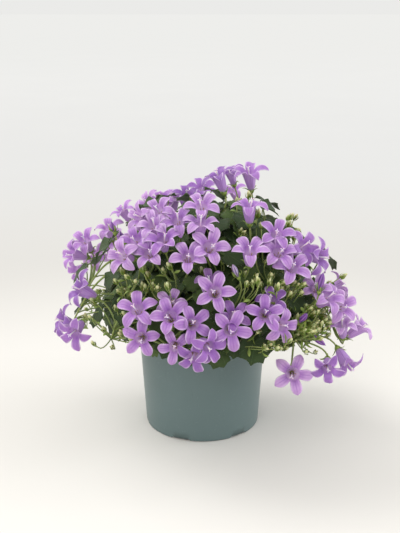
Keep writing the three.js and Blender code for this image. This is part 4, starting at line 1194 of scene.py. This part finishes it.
leaf_finish = make_leaf_finish()
stem_finish = make_stem_finish("stem", *STEM_GREENS)
calyx_finish = make_stem_finish("calyx", *CALYX_GREENS)
print("finishes", leaf_finish.name, stem_finish.name, calyx_finish.name)

# %% Leaves and petioles, stem by stem
PETIOLE_STEPS = 8
PETIOLE_RADII = np.linspace(0.65, 0.42, PETIOLE_STEPS) * MM
LEAF_THICKNESS = 0.3 * MM
SOLID_BLADE = (4, 4 * TEETH, 0.45)
HIDDEN_BLADE = (3, 2 * TEETH, 1.0)


def petiole_paths(leaves, stems):
    """From the nearest stem below, up in a curve to the underside of the notch."""
    notch, tip, facing, radius = leaves
    starts = nearest_on_stem(notch - 18 * MM * UP, stems, first=2)
    span = np.linalg.norm(notch - starts, axis=1, keepdims=True)
    leave = starts + 0.35 * (notch - starts) + 0.15 * span * UP
    arrive = notch - (0.25 * tip + 0.3 * facing) * np.minimum(radius[:, None] * 1.4, span)
    return bend(starts, leave, arrive, notch - 0.15 * MM * facing, PETIOLE_STEPS)


leaf_stems = np.array(leaf_stems)
more_stems = slice_of(more_leaves[0])
leaf_rims = []
for number, node in enumerate(STEM_NODES):
    rng = np.random.default_rng(300 + number)
    blades = Skin()
    own = tuple(values[leaf_stems == number] for values in solid_parts)
    more = tuple(values[more_stems == number] for values in more_leaves)
    for leaves, blade in ((own, SOLID_BLADE), (more, HIDDEN_BLADE)):
        if len(leaves[0]):
            leaf_rims.append(add_blades(blades, leaves, *blade, rng))
            petioles = petiole_paths(leaves, np.full(len(leaves[0]), number))
            add_rods(stem_skins[number], petioles, PETIOLE_RADII, sides=5, tone=0.4)
    add_piece("leaves_" + node, blades, leaf_finish, [node], LEAF_THICKNESS)
    add_piece("stalks_" + node, stem_skins[number], stem_finish, [node])
add_piece("calyxes", calyx_skin, calyx_finish)
print("blades", len(solid_leaves) + len(more_leaves[0]))

# %% [markdown]
# Between the flowers stand green buds: pointed clubs on thin stalks, each held by five narrow sepals. They
# come in sprays where the photograph shows them, and a few more stand where it shows none. A place in the
# picture is followed as a ray from the eye until it meets a shell of the mound.

# %% Sprays of green buds
SPRAYS = {
    "right of the middle": (266, 280, 0.94, 16),
    "right of the middle, low": (290, 288, 0.92, 10),
    "right": (322, 312, 0.90, 20),
    "right, low": (314, 332, 0.92, 18),
    "right, inner": (303, 306, 0.93, 10),
    "over the rim": (272, 338, 0.99, 14),
    "lower right": (300, 334, 0.92, 8),
    "left": (134, 278, 0.93, 8),
    "left of the middle": (158, 284, 0.92, 8),
    "far left": (108, 328, 0.93, 8),
    "left edge": (112, 300, 0.90, 6),
    "upper right": (252, 222, 0.88, 8),
    "upper right edge": (288, 232, 0.86, 6),
    "upper middle": (212, 250, 0.93, 6),
    "middle": (200, 276, 0.88, 6),
    "right edge": (336, 292, 0.90, 4),
}


def on_shell(across, down, share):
    """Where the ray through a place in the picture first meets the mound's shell of that share."""
    ahead = np.array([0, np.cos(TILT), -np.sin(TILT)])
    above = np.array([0, np.sin(TILT), np.cos(TILT)])
    ray = ahead + (across - MIDDLE_ACROSS) / FOCAL_PIXELS * np.array([1.0, 0, 0])
    ray = ray + (MIDDLE_DOWN - down) / FOCAL_PIXELS * above
    scaled = ray / (DOME_HALF * share)
    offset = (EYE - DOME_CENTRE) / (DOME_HALF * share)
    half, square = scaled @ offset, scaled @ scaled
    root = max(half ** 2 - square * (offset @ offset - 1), 0.0)
    return EYE + ray * (-half - np.sqrt(root)) / square


def mound_normals(points):
    """Directions square to the mound: each offset over the square of the mound's half size."""
    return unit((points - DOME_CENTRE) / DOME_HALF ** 2)


print("sprays in the picture", len(SPRAYS))

# %% Places of the green buds
SPRAY_SPREAD = 7.5 * MM
BACK_SPRAYS = 9
BUDS_IN_BACK_SPRAY = 3


def spray_buds(centre, count, rng):
    """Bases and axes of buds that are scattered round a place and lean outward and up."""
    normal = mound_normals(centre)
    bases = centre + rng.normal(0, 1, (count, 3)) * SPRAY_SPREAD
    bases = bases - rng.uniform(0, 6, (count, 1)) * MM * normal
    axes = unit(normal + 0.7 * UP + rng.normal(0, 0.35, (count, 3)))
    return bases, axes


def back_places(count, rng):
    """Seeded places on the far half of the mound."""
    turn = rng.uniform(np.radians(25), np.radians(155), count)
    rise = rng.uniform(-0.1, 0.5, count)
    level = np.sqrt(1 - rise ** 2)
    out = np.stack([level * np.cos(turn), level * np.sin(turn), rise], -1)
    return DOME_CENTRE + 0.86 * DOME_HALF * out


rng = np.random.default_rng(11)
bud_groups = [spray_buds(on_shell(*place[:3]), place[3], rng) for place in SPRAYS.values()]
bud_groups += [spray_buds(place, BUDS_IN_BACK_SPRAY, rng) for place in back_places(BACK_SPRAYS, rng)]
bud_bases = np.concatenate([group[0] for group in bud_groups])
bud_axes = np.concatenate([group[1] for group in bud_groups])
clear = ~(in_flower(bud_bases) | in_flower(bud_bases + 6 * MM * bud_axes) | in_pot(bud_bases))
bud_bases = np.concatenate([bud_bases[clear], [bud[0] for bud in solid_buds]])
bud_axes = np.concatenate([bud_axes[clear], [bud[1] for bud in solid_buds]])
print("green buds", len(bud_bases))

# %% Shapes of the buds
CLUB_LENGTH = 8.0
BUD_PROFILE = np.array([0.4, 0.55, 0.8, 1.1, 1.35, 1.35, 1.0, 0.2])
BUD_STALK_STEPS = 7
rng = np.random.default_rng(12)


def across_axes(axes, rng):
    """Two directions square to each axis, turned at random."""
    first = unit(np.cross(axes, rng.normal(0, 1, axes.shape)))
    return first, np.cross(axes, first)


def placed_along(local, bases, axes, first, second):
    """Millimetres on an own axis to the plant's frame."""
    turned = np.stack([first, second, axes], axis=1)
    return bases[:, None] + np.einsum("fpk,fkc->fpc", local, turned) * MM


def bud_sepals(index, count, rng, length, hug):
    """From the bud's base outward and then up along it."""
    turn = 2 * np.pi * index / LOBES + rng.normal(0, 0.1, (count, 1))
    t = np.linspace(0, 1, 6)[None]
    out = 1.3 + hug * np.sin(rng.uniform(1.5, 2.6, (count, 1)) * t)
    height = 1.0 + rng.uniform(0.8, 1.1, (count, 1)) * length * t
    return np.stack([out * np.cos(turn), out * np.sin(turn), height], -1)


bud_skin = Skin()
bud_frame = (bud_bases, bud_axes, *across_axes(bud_axes, rng))
bud_scale = rng.uniform(0.7, 1.1, (len(bud_bases), 1, 1))
straight = np.zeros((len(bud_bases), len(BUD_PROFILE), 3))
straight[..., 2] = np.linspace(0, CLUB_LENGTH, len(BUD_PROFILE))
tones = rng.uniform(0, 1, len(bud_bases))
clubs = placed_along(straight * bud_scale, *bud_frame)
add_rods(bud_skin, clubs, BUD_PROFILE * MM * bud_scale[:, 0], sides=8, tone=tones)
for index in range(LOBES):
    lines = bud_sepals(index, len(bud_bases), rng, length=5.5, hug=1.1) * bud_scale
    tones = rng.uniform(0.2, 1, len(bud_bases))
    add_rods(bud_skin, placed_along(lines, *bud_frame), 0.8 * SEPAL_HALF_WIDTHS * MM,
             sides=4, tone=tones, flatness=0.35)
bud_stalks = stalk_paths(bud_bases, bud_axes, slice_of(bud_bases), neck=9 * MM, steps=BUD_STALK_STEPS)
bud_stalk_skin = Skin()
bud_stalk_radii = np.linspace(0.5, 0.36, BUD_STALK_STEPS) * MM
add_rods(bud_stalk_skin, bud_stalks, bud_stalk_radii, sides=5, tone=0.8)
print("bud sepals", LOBES * len(bud_bases))

# %% Leaflets on the bud stalks
LEAFLET_HALF_WIDTHS = np.array([0.2, 0.6, 1.05, 1.25, 1.0, 0.55, 0.1])
LEAFLET_SIDES = 6
LEAFLET_REACH = 30 * MM
LEAFLET_SHARE = 0.6


def leaflet_paths(places, axes, rng):
    """From places on the bud stalks out to one side and curled: 0.8 * length * sin(1.3 t) outward."""
    first, second = across_axes(axes, rng)
    t = np.linspace(0, 1, len(LEAFLET_HALF_WIDTHS))[None, :, None]
    length = rng.uniform(5, 10, (len(places), 1, 1)) * MM
    bow = rng.uniform(-0.5, 0.5, (len(places), 1, 1))
    rise = axes[:, None] * (0.75 * t - 0.35 * t ** 2 * rng.uniform(0, 2, (len(places), 1, 1)))
    aside = first[:, None] * np.sin(1.3 * t) * 0.8 + rise + second[:, None] * bow * t ** 2
    return places[:, None] + length * aside


leaflet_skin = Skin()
for share in (3, 5):
    places = bud_stalks[:, share]
    near_buds = np.linalg.norm(places - bud_bases, axis=1) < LEAFLET_REACH
    bearing = near_buds & (rng.uniform(0, 1, len(places)) < LEAFLET_SHARE)
    lines = leaflet_paths(places[bearing], bud_axes[bearing], rng)
    tones = rng.uniform(0, 1, len(lines))
    add_rods(leaflet_skin, lines, LEAFLET_HALF_WIDTHS * MM, LEAFLET_SIDES, tones, flatness=0.22)
print("leaflets", leaflet_skin.count // (len(LEAFLET_HALF_WIDTHS) * LEAFLET_SIDES + 2))

# %% Finish of the buds
BUD_GREENS = ((0.11, 0.20, 0.02), (0.28, 0.38, 0.05))
BUD_TIP = (0.70, 0.70, 0.38)

bud_recipe = Recipe("green_bud", Roughness=0.45, Subsurface_Weight=0.15, Subsurface_Scale=0.001)
bud_along = bud_recipe.across_and_along()[1]
bud_tint = bud_recipe.mix(bud_recipe.tone() * 0.5 + bud_recipe.noise(300.0) * 0.3, *BUD_GREENS)
bud_tint = bud_recipe.mix(bud_along.between(0.4, 0.95) * 0.85, bud_tint, BUD_TIP)
bud_bumps = bud_recipe.relief(bud_recipe.noise(1200.0), 0.0002)
add_piece("green_buds", bud_skin, bud_recipe.feed(Base_Color=bud_tint, Normal=bud_bumps))
add_piece("bud_stalks", bud_stalk_skin, stem_finish)
add_piece("leaflets", leaflet_skin, calyx_finish)
print("points in the buds", bud_skin.count)

# %% [markdown]
# A few bells have yet to open. They are slim, deeper violet, and folded along five pleats that turn slowly
# round the axis.

# %% Closed violet buds
CLOSED = {
    "upright": (321, 283, 1.04, (0.15, -0.1, 1.0), 1.0),
    "striped": (235, 270, 0.97, (-0.35, -0.3, 0.85), 0.8),
    "right": (303, 318, 0.98, (0.3, -0.5, 0.6), 0.9),
    "pointing down": (318, 340, 0.98, (0.75, -0.4, -0.45), 0.9),
    "left": (112, 224, 0.97, (-0.25, -0.1, 1.0), 0.6),
    "middle": (257, 243, 0.94, (0.05, 0.1, 1.0), 0.8),
    "behind": (286, 232, 0.93, (0.3, -0.1, 1.0), 0.65),
    "over the left": (135, 208, 0.95, (0.0, 0.0, 1.0), 0.5),
}
CLOSED_LENGTH = 15.0
CLOSED_ROWS = 12
CLOSED_SIDES = 20


def pleated_buds(size, rng):
    """Radius = profile * (1 + 0.22 cos(5 a)), where a turns by a twist along the axis.

    The profile widens at the foot, swells to a belly and closes at the tip.
    """
    up = np.linspace(0, 1, CLOSED_ROWS)[None, :, None]
    count = len(size)
    size = size[:, None, None]
    foot = 0.6 * np.minimum(up / 0.3, 1) ** 0.7
    belly = 0.75 * np.sin(np.pi * np.clip((up - 0.2) / 0.8, 0, 1))
    profile = (0.8 + foot + belly) * np.sqrt(np.clip(1.04 - up ** 5, 0, 1))
    angle = 2 * np.pi * np.arange(CLOSED_SIDES) / CLOSED_SIDES
    twist = rng.uniform(0.3, 1.0, (count, 1, 1)) * up
    reach = profile * (1 + 0.22 * np.cos(LOBES * angle) * np.minimum(up * 3, 1))
    rings = np.stack([reach * np.cos(angle + twist), reach * np.sin(angle + twist),
                      CLOSED_LENGTH * up + 0 * angle + 0 * twist], -1) * size[..., None]
    ends = np.zeros((count, 2, 3))
    ends[:, 1, 2] = (CLOSED_LENGTH + 0.8) * size[:, 0, 0]
    return np.concatenate([ends[:, :1], rings.reshape(count, -1, 3), ends[:, 1:]], axis=1)


rng = np.random.default_rng(13)
closed_bases = np.array([on_shell(*place[:3]) for place in CLOSED.values()])
closed_axes = unit(np.array([place[3] for place in CLOSED.values()], float))
closed_bases = closed_bases - closed_axes * 7 * MM
more_places = back_places(7, rng)
closed_sizes = np.r_[[place[4] for place in CLOSED.values()], np.full(len(more_places), 0.85)]
closed_bases = np.concatenate([closed_bases, more_places])
closed_axes = np.concatenate([closed_axes, unit(mound_normals(more_places) + 0.6 * UP)])
clear = ~(in_flower(closed_bases + 4 * MM * closed_axes) | in_flower(closed_bases + 11 * MM * closed_axes))
closed_bases, closed_axes, closed_sizes = closed_bases[clear], closed_axes[clear], closed_sizes[clear]
left_out = [name for name, kept in zip(CLOSED, clear) if not kept]
print("closed flowers", len(closed_bases), "without", left_out)

# %% Shapes of the closed buds
closed_frame = (closed_bases, closed_axes, *across_axes(closed_axes, rng))
closed_skin = Skin()
closed_quads, closed_triangles = rod_faces(CLOSED_ROWS, CLOSED_SIDES)
closed_up = np.r_[0, np.repeat(np.linspace(0, 1, CLOSED_ROWS), CLOSED_SIDES), 1]
pleats = 0.5 + 0.5 * np.cos(LOBES * 2 * np.pi * np.arange(CLOSED_SIDES) / CLOSED_SIDES)
closed_surface = np.stack([np.r_[0, np.tile(pleats, CLOSED_ROWS), 0], closed_up], -1)
closed_points = placed_along(pleated_buds(closed_sizes, rng), *closed_frame)
striped = np.r_[[name == "striped" for name in CLOSED], np.zeros(len(more_places))][clear]
closed_skin.add(closed_points, closed_quads, closed_triangles, closed_surface, striped)
closed_cups = Skin()
cup_lines = placed_along(cup_paths(len(closed_bases)), *closed_frame)
add_rods(closed_cups, cup_lines, 0.65 * CUP_PROFILE * MM, sides=8, tone=0.4)
for index in range(LOBES):
    lines = bud_sepals(index, len(closed_bases), rng, length=5.0, hug=2.6)
    add_rods(closed_cups, placed_along(lines, *closed_frame), SEPAL_HALF_WIDTHS * MM,
             sides=6, tone=0.6, flatness=0.3)
closed_stalk_skin = Skin()
closed_ends = closed_bases - 3 * MM * closed_axes
closed_stalks = stalk_paths(closed_ends, closed_axes, slice_of(closed_bases), neck=10 * MM)
closed_stalk_radii = np.linspace(0.7, 0.55, closed_stalks.shape[1]) * MM
add_rods(closed_stalk_skin, closed_stalks, closed_stalk_radii, sides=6, tone=0.8)
print("points in the closed buds", closed_skin.count)

# %% Finish of the closed buds
PLEAT_VIOLETS = ((0.10, 0.03, 0.20), (0.34, 0.15, 0.50))
PLEAT_PALE = (0.72, 0.66, 0.78)
CLOSED_FOOT = (0.45, 0.42, 0.35)

closed_recipe = Recipe("closed_petals", Roughness=0.5, Subsurface_Weight=0.2, Subsurface_Scale=0.002)
pleat, closed_along = closed_recipe.across_and_along()
closed_tint = closed_recipe.mix(pleat, *PLEAT_VIOLETS)
closed_tint = closed_recipe.mix(closed_recipe.tone() * pleat * 0.8, closed_tint, PLEAT_PALE)
closed_tint = closed_recipe.mix((1 - closed_along.between(0.0, 0.25)) * 0.5, closed_tint, CLOSED_FOOT)
closed_bumps = closed_recipe.relief(closed_recipe.noise(900.0), 0.0002)
closed_finish = closed_recipe.feed(Base_Color=closed_tint, Normal=closed_bumps)
add_piece("closed_flowers", closed_skin, closed_finish)
add_piece("closed_calyxes", closed_cups, calyx_finish)
add_piece("closed_stalks", closed_stalk_skin, stem_finish)
print("closed buds' stalks", len(closed_stalks))

# %% [markdown]
# Stalks, calyxes and the edges of the leaves carry short pale hairs, which show as a soft light rim. There
# are thousands, so each is only a closed spike of four faces, and all of them make one piece.

# %% Hairs
HAIR_RADIUS = 0.07 * MM
CUP_HAIRS = 14
STALK_HAIRS = 24
HAIR_FACES = np.array([[0, 2, 1], [0, 1, 3], [1, 2, 3], [2, 0, 3]])


def hair_spikes(roots, directions, rng):
    """Three corners round each root, root + radius * (cos a * first + sin a * second), and the tip."""
    first, second = across_axes(directions, rng)
    angle = 2 * np.pi * np.arange(3)[None, :, None] / 3
    spread = np.cos(angle) * first[:, None] + np.sin(angle) * second[:, None]
    corners = roots[:, None] + HAIR_RADIUS * spread
    tips = roots + directions * rng.uniform(0.6, 1.3, (len(roots), 1)) * MM
    return np.concatenate([corners, tips[:, None]], axis=1)


def cup_hairs(rng):
    """Roots over the flowers' cups, and directions away from the axis and a little forward."""
    height = rng.uniform(-3.2, 0.5, (len(flowers), CUP_HAIRS))
    out = 0.9 * np.interp(height, CUP_HEIGHTS, CUP_PROFILE)
    turn = rng.uniform(0, 2 * np.pi, height.shape)
    outward = np.stack([np.cos(turn), np.sin(turn), 0.3 + 0 * turn], -1)
    roots = np.stack([out * np.cos(turn), out * np.sin(turn), height], -1)
    ends = on_flowers(np.concatenate([roots, roots + outward], axis=1), ALL_FLOWERS)
    roots, tips = ends[:, :CUP_HAIRS].reshape(-1, 3), ends[:, CUP_HAIRS:].reshape(-1, 3)
    return roots, unit(tips - roots)


def stalk_hairs(paths, radius, count, rng):
    """Roots at random places along paths, and directions square to them."""
    path = rng.integers(0, len(paths), count)
    step = rng.integers(2, paths.shape[1] - 1, count)
    ahead = paths[path, step + 1] - paths[path, step]
    directions = across_axes(unit(ahead), rng)[0]
    roots = paths[path, step] + rng.uniform(0, 1, (count, 1)) * ahead
    return roots + 0.8 * radius * directions, directions


print("faces of a hair", len(HAIR_FACES))

# %% Hairs all over the plant
HAIR_TINTS = ((0.42, 0.47, 0.30), (0.74, 0.76, 0.64))

rng = np.random.default_rng(41)
rims = np.concatenate(leaf_rims)
hair_groups = [
    cup_hairs(rng),
    stalk_hairs(flower_stalks, 0.6 * MM, STALK_HAIRS * len(flower_stalks), rng),
    stalk_hairs(bud_stalks, 0.4 * MM, STALK_HAIRS // 2 * len(bud_stalks), rng),
    (rims[:, 0] - 0.1 * MM * rims[:, 1], unit(rims[:, 1] + rng.normal(0, 0.3, rims[:, 1].shape))),
]
hair_skin = Skin()
for roots, directions in hair_groups:
    spikes = hair_spikes(roots, directions, rng)
    hair_skin.add(spikes, NO_QUADS, HAIR_FACES, np.full((4, 2), 0.5), rng.uniform(0, 1, len(roots)))

hair_recipe = Recipe("pale_hair", Roughness=0.6)
hair_tint = hair_recipe.mix(hair_recipe.tone() * 0.7 + hair_recipe.noise(400.0) * 0.3, *HAIR_TINTS)
add_piece("hairs", hair_skin, hair_recipe.feed(Base_Color=hair_tint))
print("hairs", sum(len(roots) for roots, directions in hair_groups))

# %% [markdown]
# The pot is moulded plastic, turned as one outline: a floor, a slightly widening side, a plain thicker rim.
# Along the outline and round it, each point's height and reach follow a formula. Six shallow notches are
# cut under the foot so that water can leave. The soil is a rough plug that is heaped to the middle.

# %% Pot's sizes and outline
FOOT_RADIUS = 47.5
NECK_RADIUS = 53.0
RIM_DROP = 7.0
WALL = 1.8
FLOOR = 3.0
OUT_OF_ROUND = 0.12
MEAN_RADIUS = 50.0
FOOT_POINTS = 6
SIDE_ROWS = 14
NOTCHES = 6
FIRST_NOTCH = np.radians(-52)
NOTCH_HALF_WIDTH = 7.5
NOTCH_HEIGHT = 1.6
NOTCH_REACH = 12.0
POT_SIDES = 240


def rounded(corners, radii, steps=4):
    """An outline whose corners are rounded by quadratic curves."""
    corners = np.asarray(corners, float)
    before, after = np.roll(corners, 1, axis=0), np.roll(corners, -1, axis=0)
    lines = []
    for index, (corner, radius) in enumerate(zip(corners, radii)):
        if radius == 0:
            lines.append(corner[None])
            continue
        start = corner + unit(before[index] - corner) * radius
        end = corner + unit(after[index] - corner) * radius
        t = np.linspace(0, 1, steps)[:, None]
        lines.append((1 - t) ** 2 * start + 2 * t * (1 - t) * corner + t ** 2 * end)
    return np.concatenate(lines)


def turned_points(outline, sides):
    """Rings round the axis, one for each (reach, height) of the outline, and the angles of their points."""
    angle = 2 * np.pi * np.arange(sides) / sides
    rings = np.stack([outline[:, :1] * np.cos(angle), outline[:, :1] * np.sin(angle),
                      outline[:, 1:] + 0 * angle], -1)
    return rings, angle


def notch_share(angle, out):
    """1 inside a notch, 0 outside, with a steep step."""
    apart = (angle - FIRST_NOTCH + np.pi / NOTCHES) % (2 * np.pi / NOTCHES) - np.pi / NOTCHES
    return np.clip((NOTCH_HALF_WIDTH - np.abs(out * np.sin(apart))) / 0.6 + 0.5, 0, 1)


print("points in a rounded corner", len(rounded([(0, 0), (1, 0), (1, 1)], [0, 0.1, 0])) - 2)

# %% Pot
notch_inner = FOOT_RADIUS - NOTCH_REACH
pot_outline = np.concatenate([
    [[notch_inner - 0.2, 0], [notch_inner + 0.2, 0]],
    rounded([(FOOT_RADIUS, 0), (NECK_RADIUS, POT_TOP - RIM_DROP),
             (RIM_OUT, POT_TOP - RIM_DROP + 0.8), (RIM_OUT, POT_TOP),
             (NECK_RADIUS - WALL, POT_TOP), (FOOT_RADIUS - WALL, FLOOR)],
            [1.0, 0.5, 0.5, 0.9, 0.6, 1.5]),
])
side_from, side_to = pot_outline[FOOT_POINTS - 1:FOOT_POINTS + 1]
side_share = np.linspace(0, 1, SIDE_ROWS)[1:-1, None]
side_points = side_from + (side_to - side_from) * side_share
pot_outline = np.concatenate([pot_outline[:FOOT_POINTS], side_points, pot_outline[FOOT_POINTS:]])
pot_rings, pot_angle = turned_points(pot_outline, POT_SIDES)
pot_reach = np.hypot(pot_rings[..., 0], pot_rings[..., 1])
under = (pot_reach > notch_inner) & (np.arange(len(pot_outline))[:, None] < FOOT_POINTS + 2)
notched = np.maximum(pot_rings[..., 2], NOTCH_HEIGHT * notch_share(pot_angle, pot_reach))
pot_rings[..., 2] = np.where(under, notched, pot_rings[..., 2])
wobble = OUT_OF_ROUND * np.sin(2 * pot_angle + 0.7) + 0.05 * np.sin(5 * pot_angle)
pot_rings[..., :2] = pot_rings[..., :2] * (1 + wobble[None, :, None] / MEAN_RADIUS)
pot_points = np.concatenate([[[0, 0, 0]], pot_rings.reshape(-1, 3), [[0, 0, FLOOR]]])[None] * MM
pot_quads, pot_triangles = rod_faces(len(pot_outline), POT_SIDES)
pot_skin = Skin()
pot_around = np.r_[0, np.tile(np.abs(np.linspace(-1, 1, POT_SIDES, endpoint=False)), len(pot_outline)), 0]
upward = np.r_[0, np.repeat(pot_outline[:, 1] / POT_TOP, POT_SIDES), 0]
pot_skin.add(pot_points, pot_quads, pot_triangles, np.stack([pot_around, upward], -1), 0.5)
print("points in the pot", pot_skin.count)

# %% Finish of the pot
POT_GREYS = ((0.098, 0.150, 0.152), (0.125, 0.182, 0.182))
SPECKLE_GREY = (0.20, 0.26, 0.26)
SCUFF_GREY = (0.08, 0.11, 0.115)

pot_recipe = Recipe("grey_green_plastic", IOR=1.46, Coat_Weight=0.3, Coat_Roughness=0.3)
speckle = pot_recipe.noise(420.0, 5.0)
cloud = pot_recipe.noise(28.0)
stretched = pot_recipe.node("ShaderNodeMapping", None, {"Vector": pot_recipe.place(), "Scale": (1, 1, 0.12)})
scuff = pot_recipe.node("ShaderNodeTexNoise", None, {"Vector": stretched, "Scale": 260.0, "Detail": 6.0})
marks = scuff.between(0.66, 0.78) * 0.5
plastic = pot_recipe.mix(cloud, *POT_GREYS)
plastic = pot_recipe.mix(speckle.between(0.62, 0.72) * 0.25, plastic, SPECKLE_GREY)
plastic = pot_recipe.mix(marks, plastic, SCUFF_GREY)
matte = cloud * 0.14 + speckle * 0.1 + 0.38
pot_bumps = pot_recipe.relief(speckle * 0.5 + scuff * 0.5, 0.00012, 0.5)
add_piece("pot_shell", pot_skin, pot_recipe.feed(Base_Color=plastic, Roughness=matte, Normal=pot_bumps),
          ["pot"])
print("pot", 2 * RIM_OUT, "mm across,", POT_TOP, "mm high")

# %% Soil
SOIL_TOP = 87.0
SOIL_HEAP = 3.0
SOIL_RINGS = 26
SOIL_SIDES = 96
SOIL_LOW = FLOOR + 0.3
HEAP_SHARE = 0.42
CRUMBS = 260
CRUMB_REACH = 49.0
SOIL_RADIUS = 51.0
SOIL_WAVES = 10


def soil_reach(height):
    """The pot's inside less a hair."""
    return FOOT_RADIUS - WALL - 0.4 + (NECK_RADIUS - FOOT_RADIUS) * (height - FLOOR) / (POT_TOP - FLOOR)


def heaped_height(share):
    """The soil's height at this share of its radius: it rises from the edge, then stays level."""
    return SOIL_TOP + np.minimum(SOIL_HEAP * (1 - share) / HEAP_SHARE, SOIL_HEAP)


rng = np.random.default_rng(31)
soil_angle = 2 * np.pi * np.arange(SOIL_SIDES) / SOIL_SIDES
inward = np.linspace(1, 0.02, SOIL_RINGS)[:, None]
soil_waves = []
for wave in range(SOIL_WAVES):
    along_x = rng.normal(0, 9, (1, 1)) * inward * np.cos(soil_angle)
    along_y = rng.normal(0, 9, (1, 1)) * inward * np.sin(soil_angle)
    soil_waves.append(np.sin(along_x + along_y + rng.uniform(0, 6)))
rough = sum(soil_waves) / 5
grain = rng.uniform(-0.5, 0.5, (SOIL_RINGS, SOIL_SIDES))
heap = heaped_height(inward) + (rough + grain) * (1 - inward ** 8) - 0.8
top_out = soil_reach(SOIL_TOP) * inward + 0 * soil_angle
low_ring = np.full((1, SOIL_SIDES), SOIL_LOW)
low_out = np.full((1, SOIL_SIDES), soil_reach(SOIL_LOW))
outs = np.concatenate([low_out, top_out])
heights = np.concatenate([low_ring, heap])
soil_rings = np.stack([outs * np.cos(soil_angle), outs * np.sin(soil_angle), heights], -1).reshape(-1, 3)
soil_points = np.concatenate([[[0, 0, SOIL_LOW]], soil_rings, [[0, 0, SOIL_TOP + SOIL_HEAP]]])[None] * MM
soil_quads, soil_triangles = rod_faces(SOIL_RINGS + 1, SOIL_SIDES)
soil_skin = Skin()
soil_skin.add(soil_points, soil_quads, soil_triangles, np.full((soil_points.shape[1], 2), 0.5), 0.5)
print("points in the soil", soil_skin.count)

# %% Crumbs
crumb_skin = Skin()
corners = unit(rng.normal(0, 1, (CRUMBS, 4, 3)))
corners[:, 0] = [0, 0, 1]
corners[:, 1:, 2] = -0.4
turn = rng.uniform(0, 2, (CRUMBS, 1)) + 2 * np.pi * np.arange(3) / 3
corners[:, 1:, 0], corners[:, 1:, 1] = np.cos(turn), np.sin(turn)
crumb_out = CRUMB_REACH * np.sqrt(rng.uniform(0, 1, CRUMBS))
crumb_turn = rng.uniform(0, 2 * np.pi, CRUMBS)
crumb_place = np.stack([crumb_out * np.cos(crumb_turn), crumb_out * np.sin(crumb_turn),
                        heaped_height(crumb_out / SOIL_RADIUS)], -1)
crumbs = (crumb_place[:, None] + corners * rng.uniform(0.8, 2.4, (CRUMBS, 1, 1))) * MM
crumb_faces = np.array([[0, 1, 2], [0, 2, 3], [0, 3, 1], [1, 3, 2]])
crumb_skin.add(crumbs, NO_QUADS, crumb_faces, np.full((4, 2), 0.5), rng.uniform(0, 1, CRUMBS))

SOIL_BROWNS = ((0.012, 0.008, 0.005), (0.060, 0.040, 0.026))
soil_recipe = Recipe("potting_soil", Roughness=0.95)
soil_grain = soil_recipe.noise(900.0, 6.0)
soil_tint = soil_recipe.mix(soil_grain, *SOIL_BROWNS)
soil_finish = soil_recipe.feed(Base_Color=soil_tint, Normal=soil_recipe.relief(soil_grain, 0.0010))
add_piece("soil_plug", soil_skin, soil_finish, ["soil"])
add_piece("soil_crumbs", crumb_skin, soil_finish)
print("crumbs", CRUMBS)

# %% [markdown]
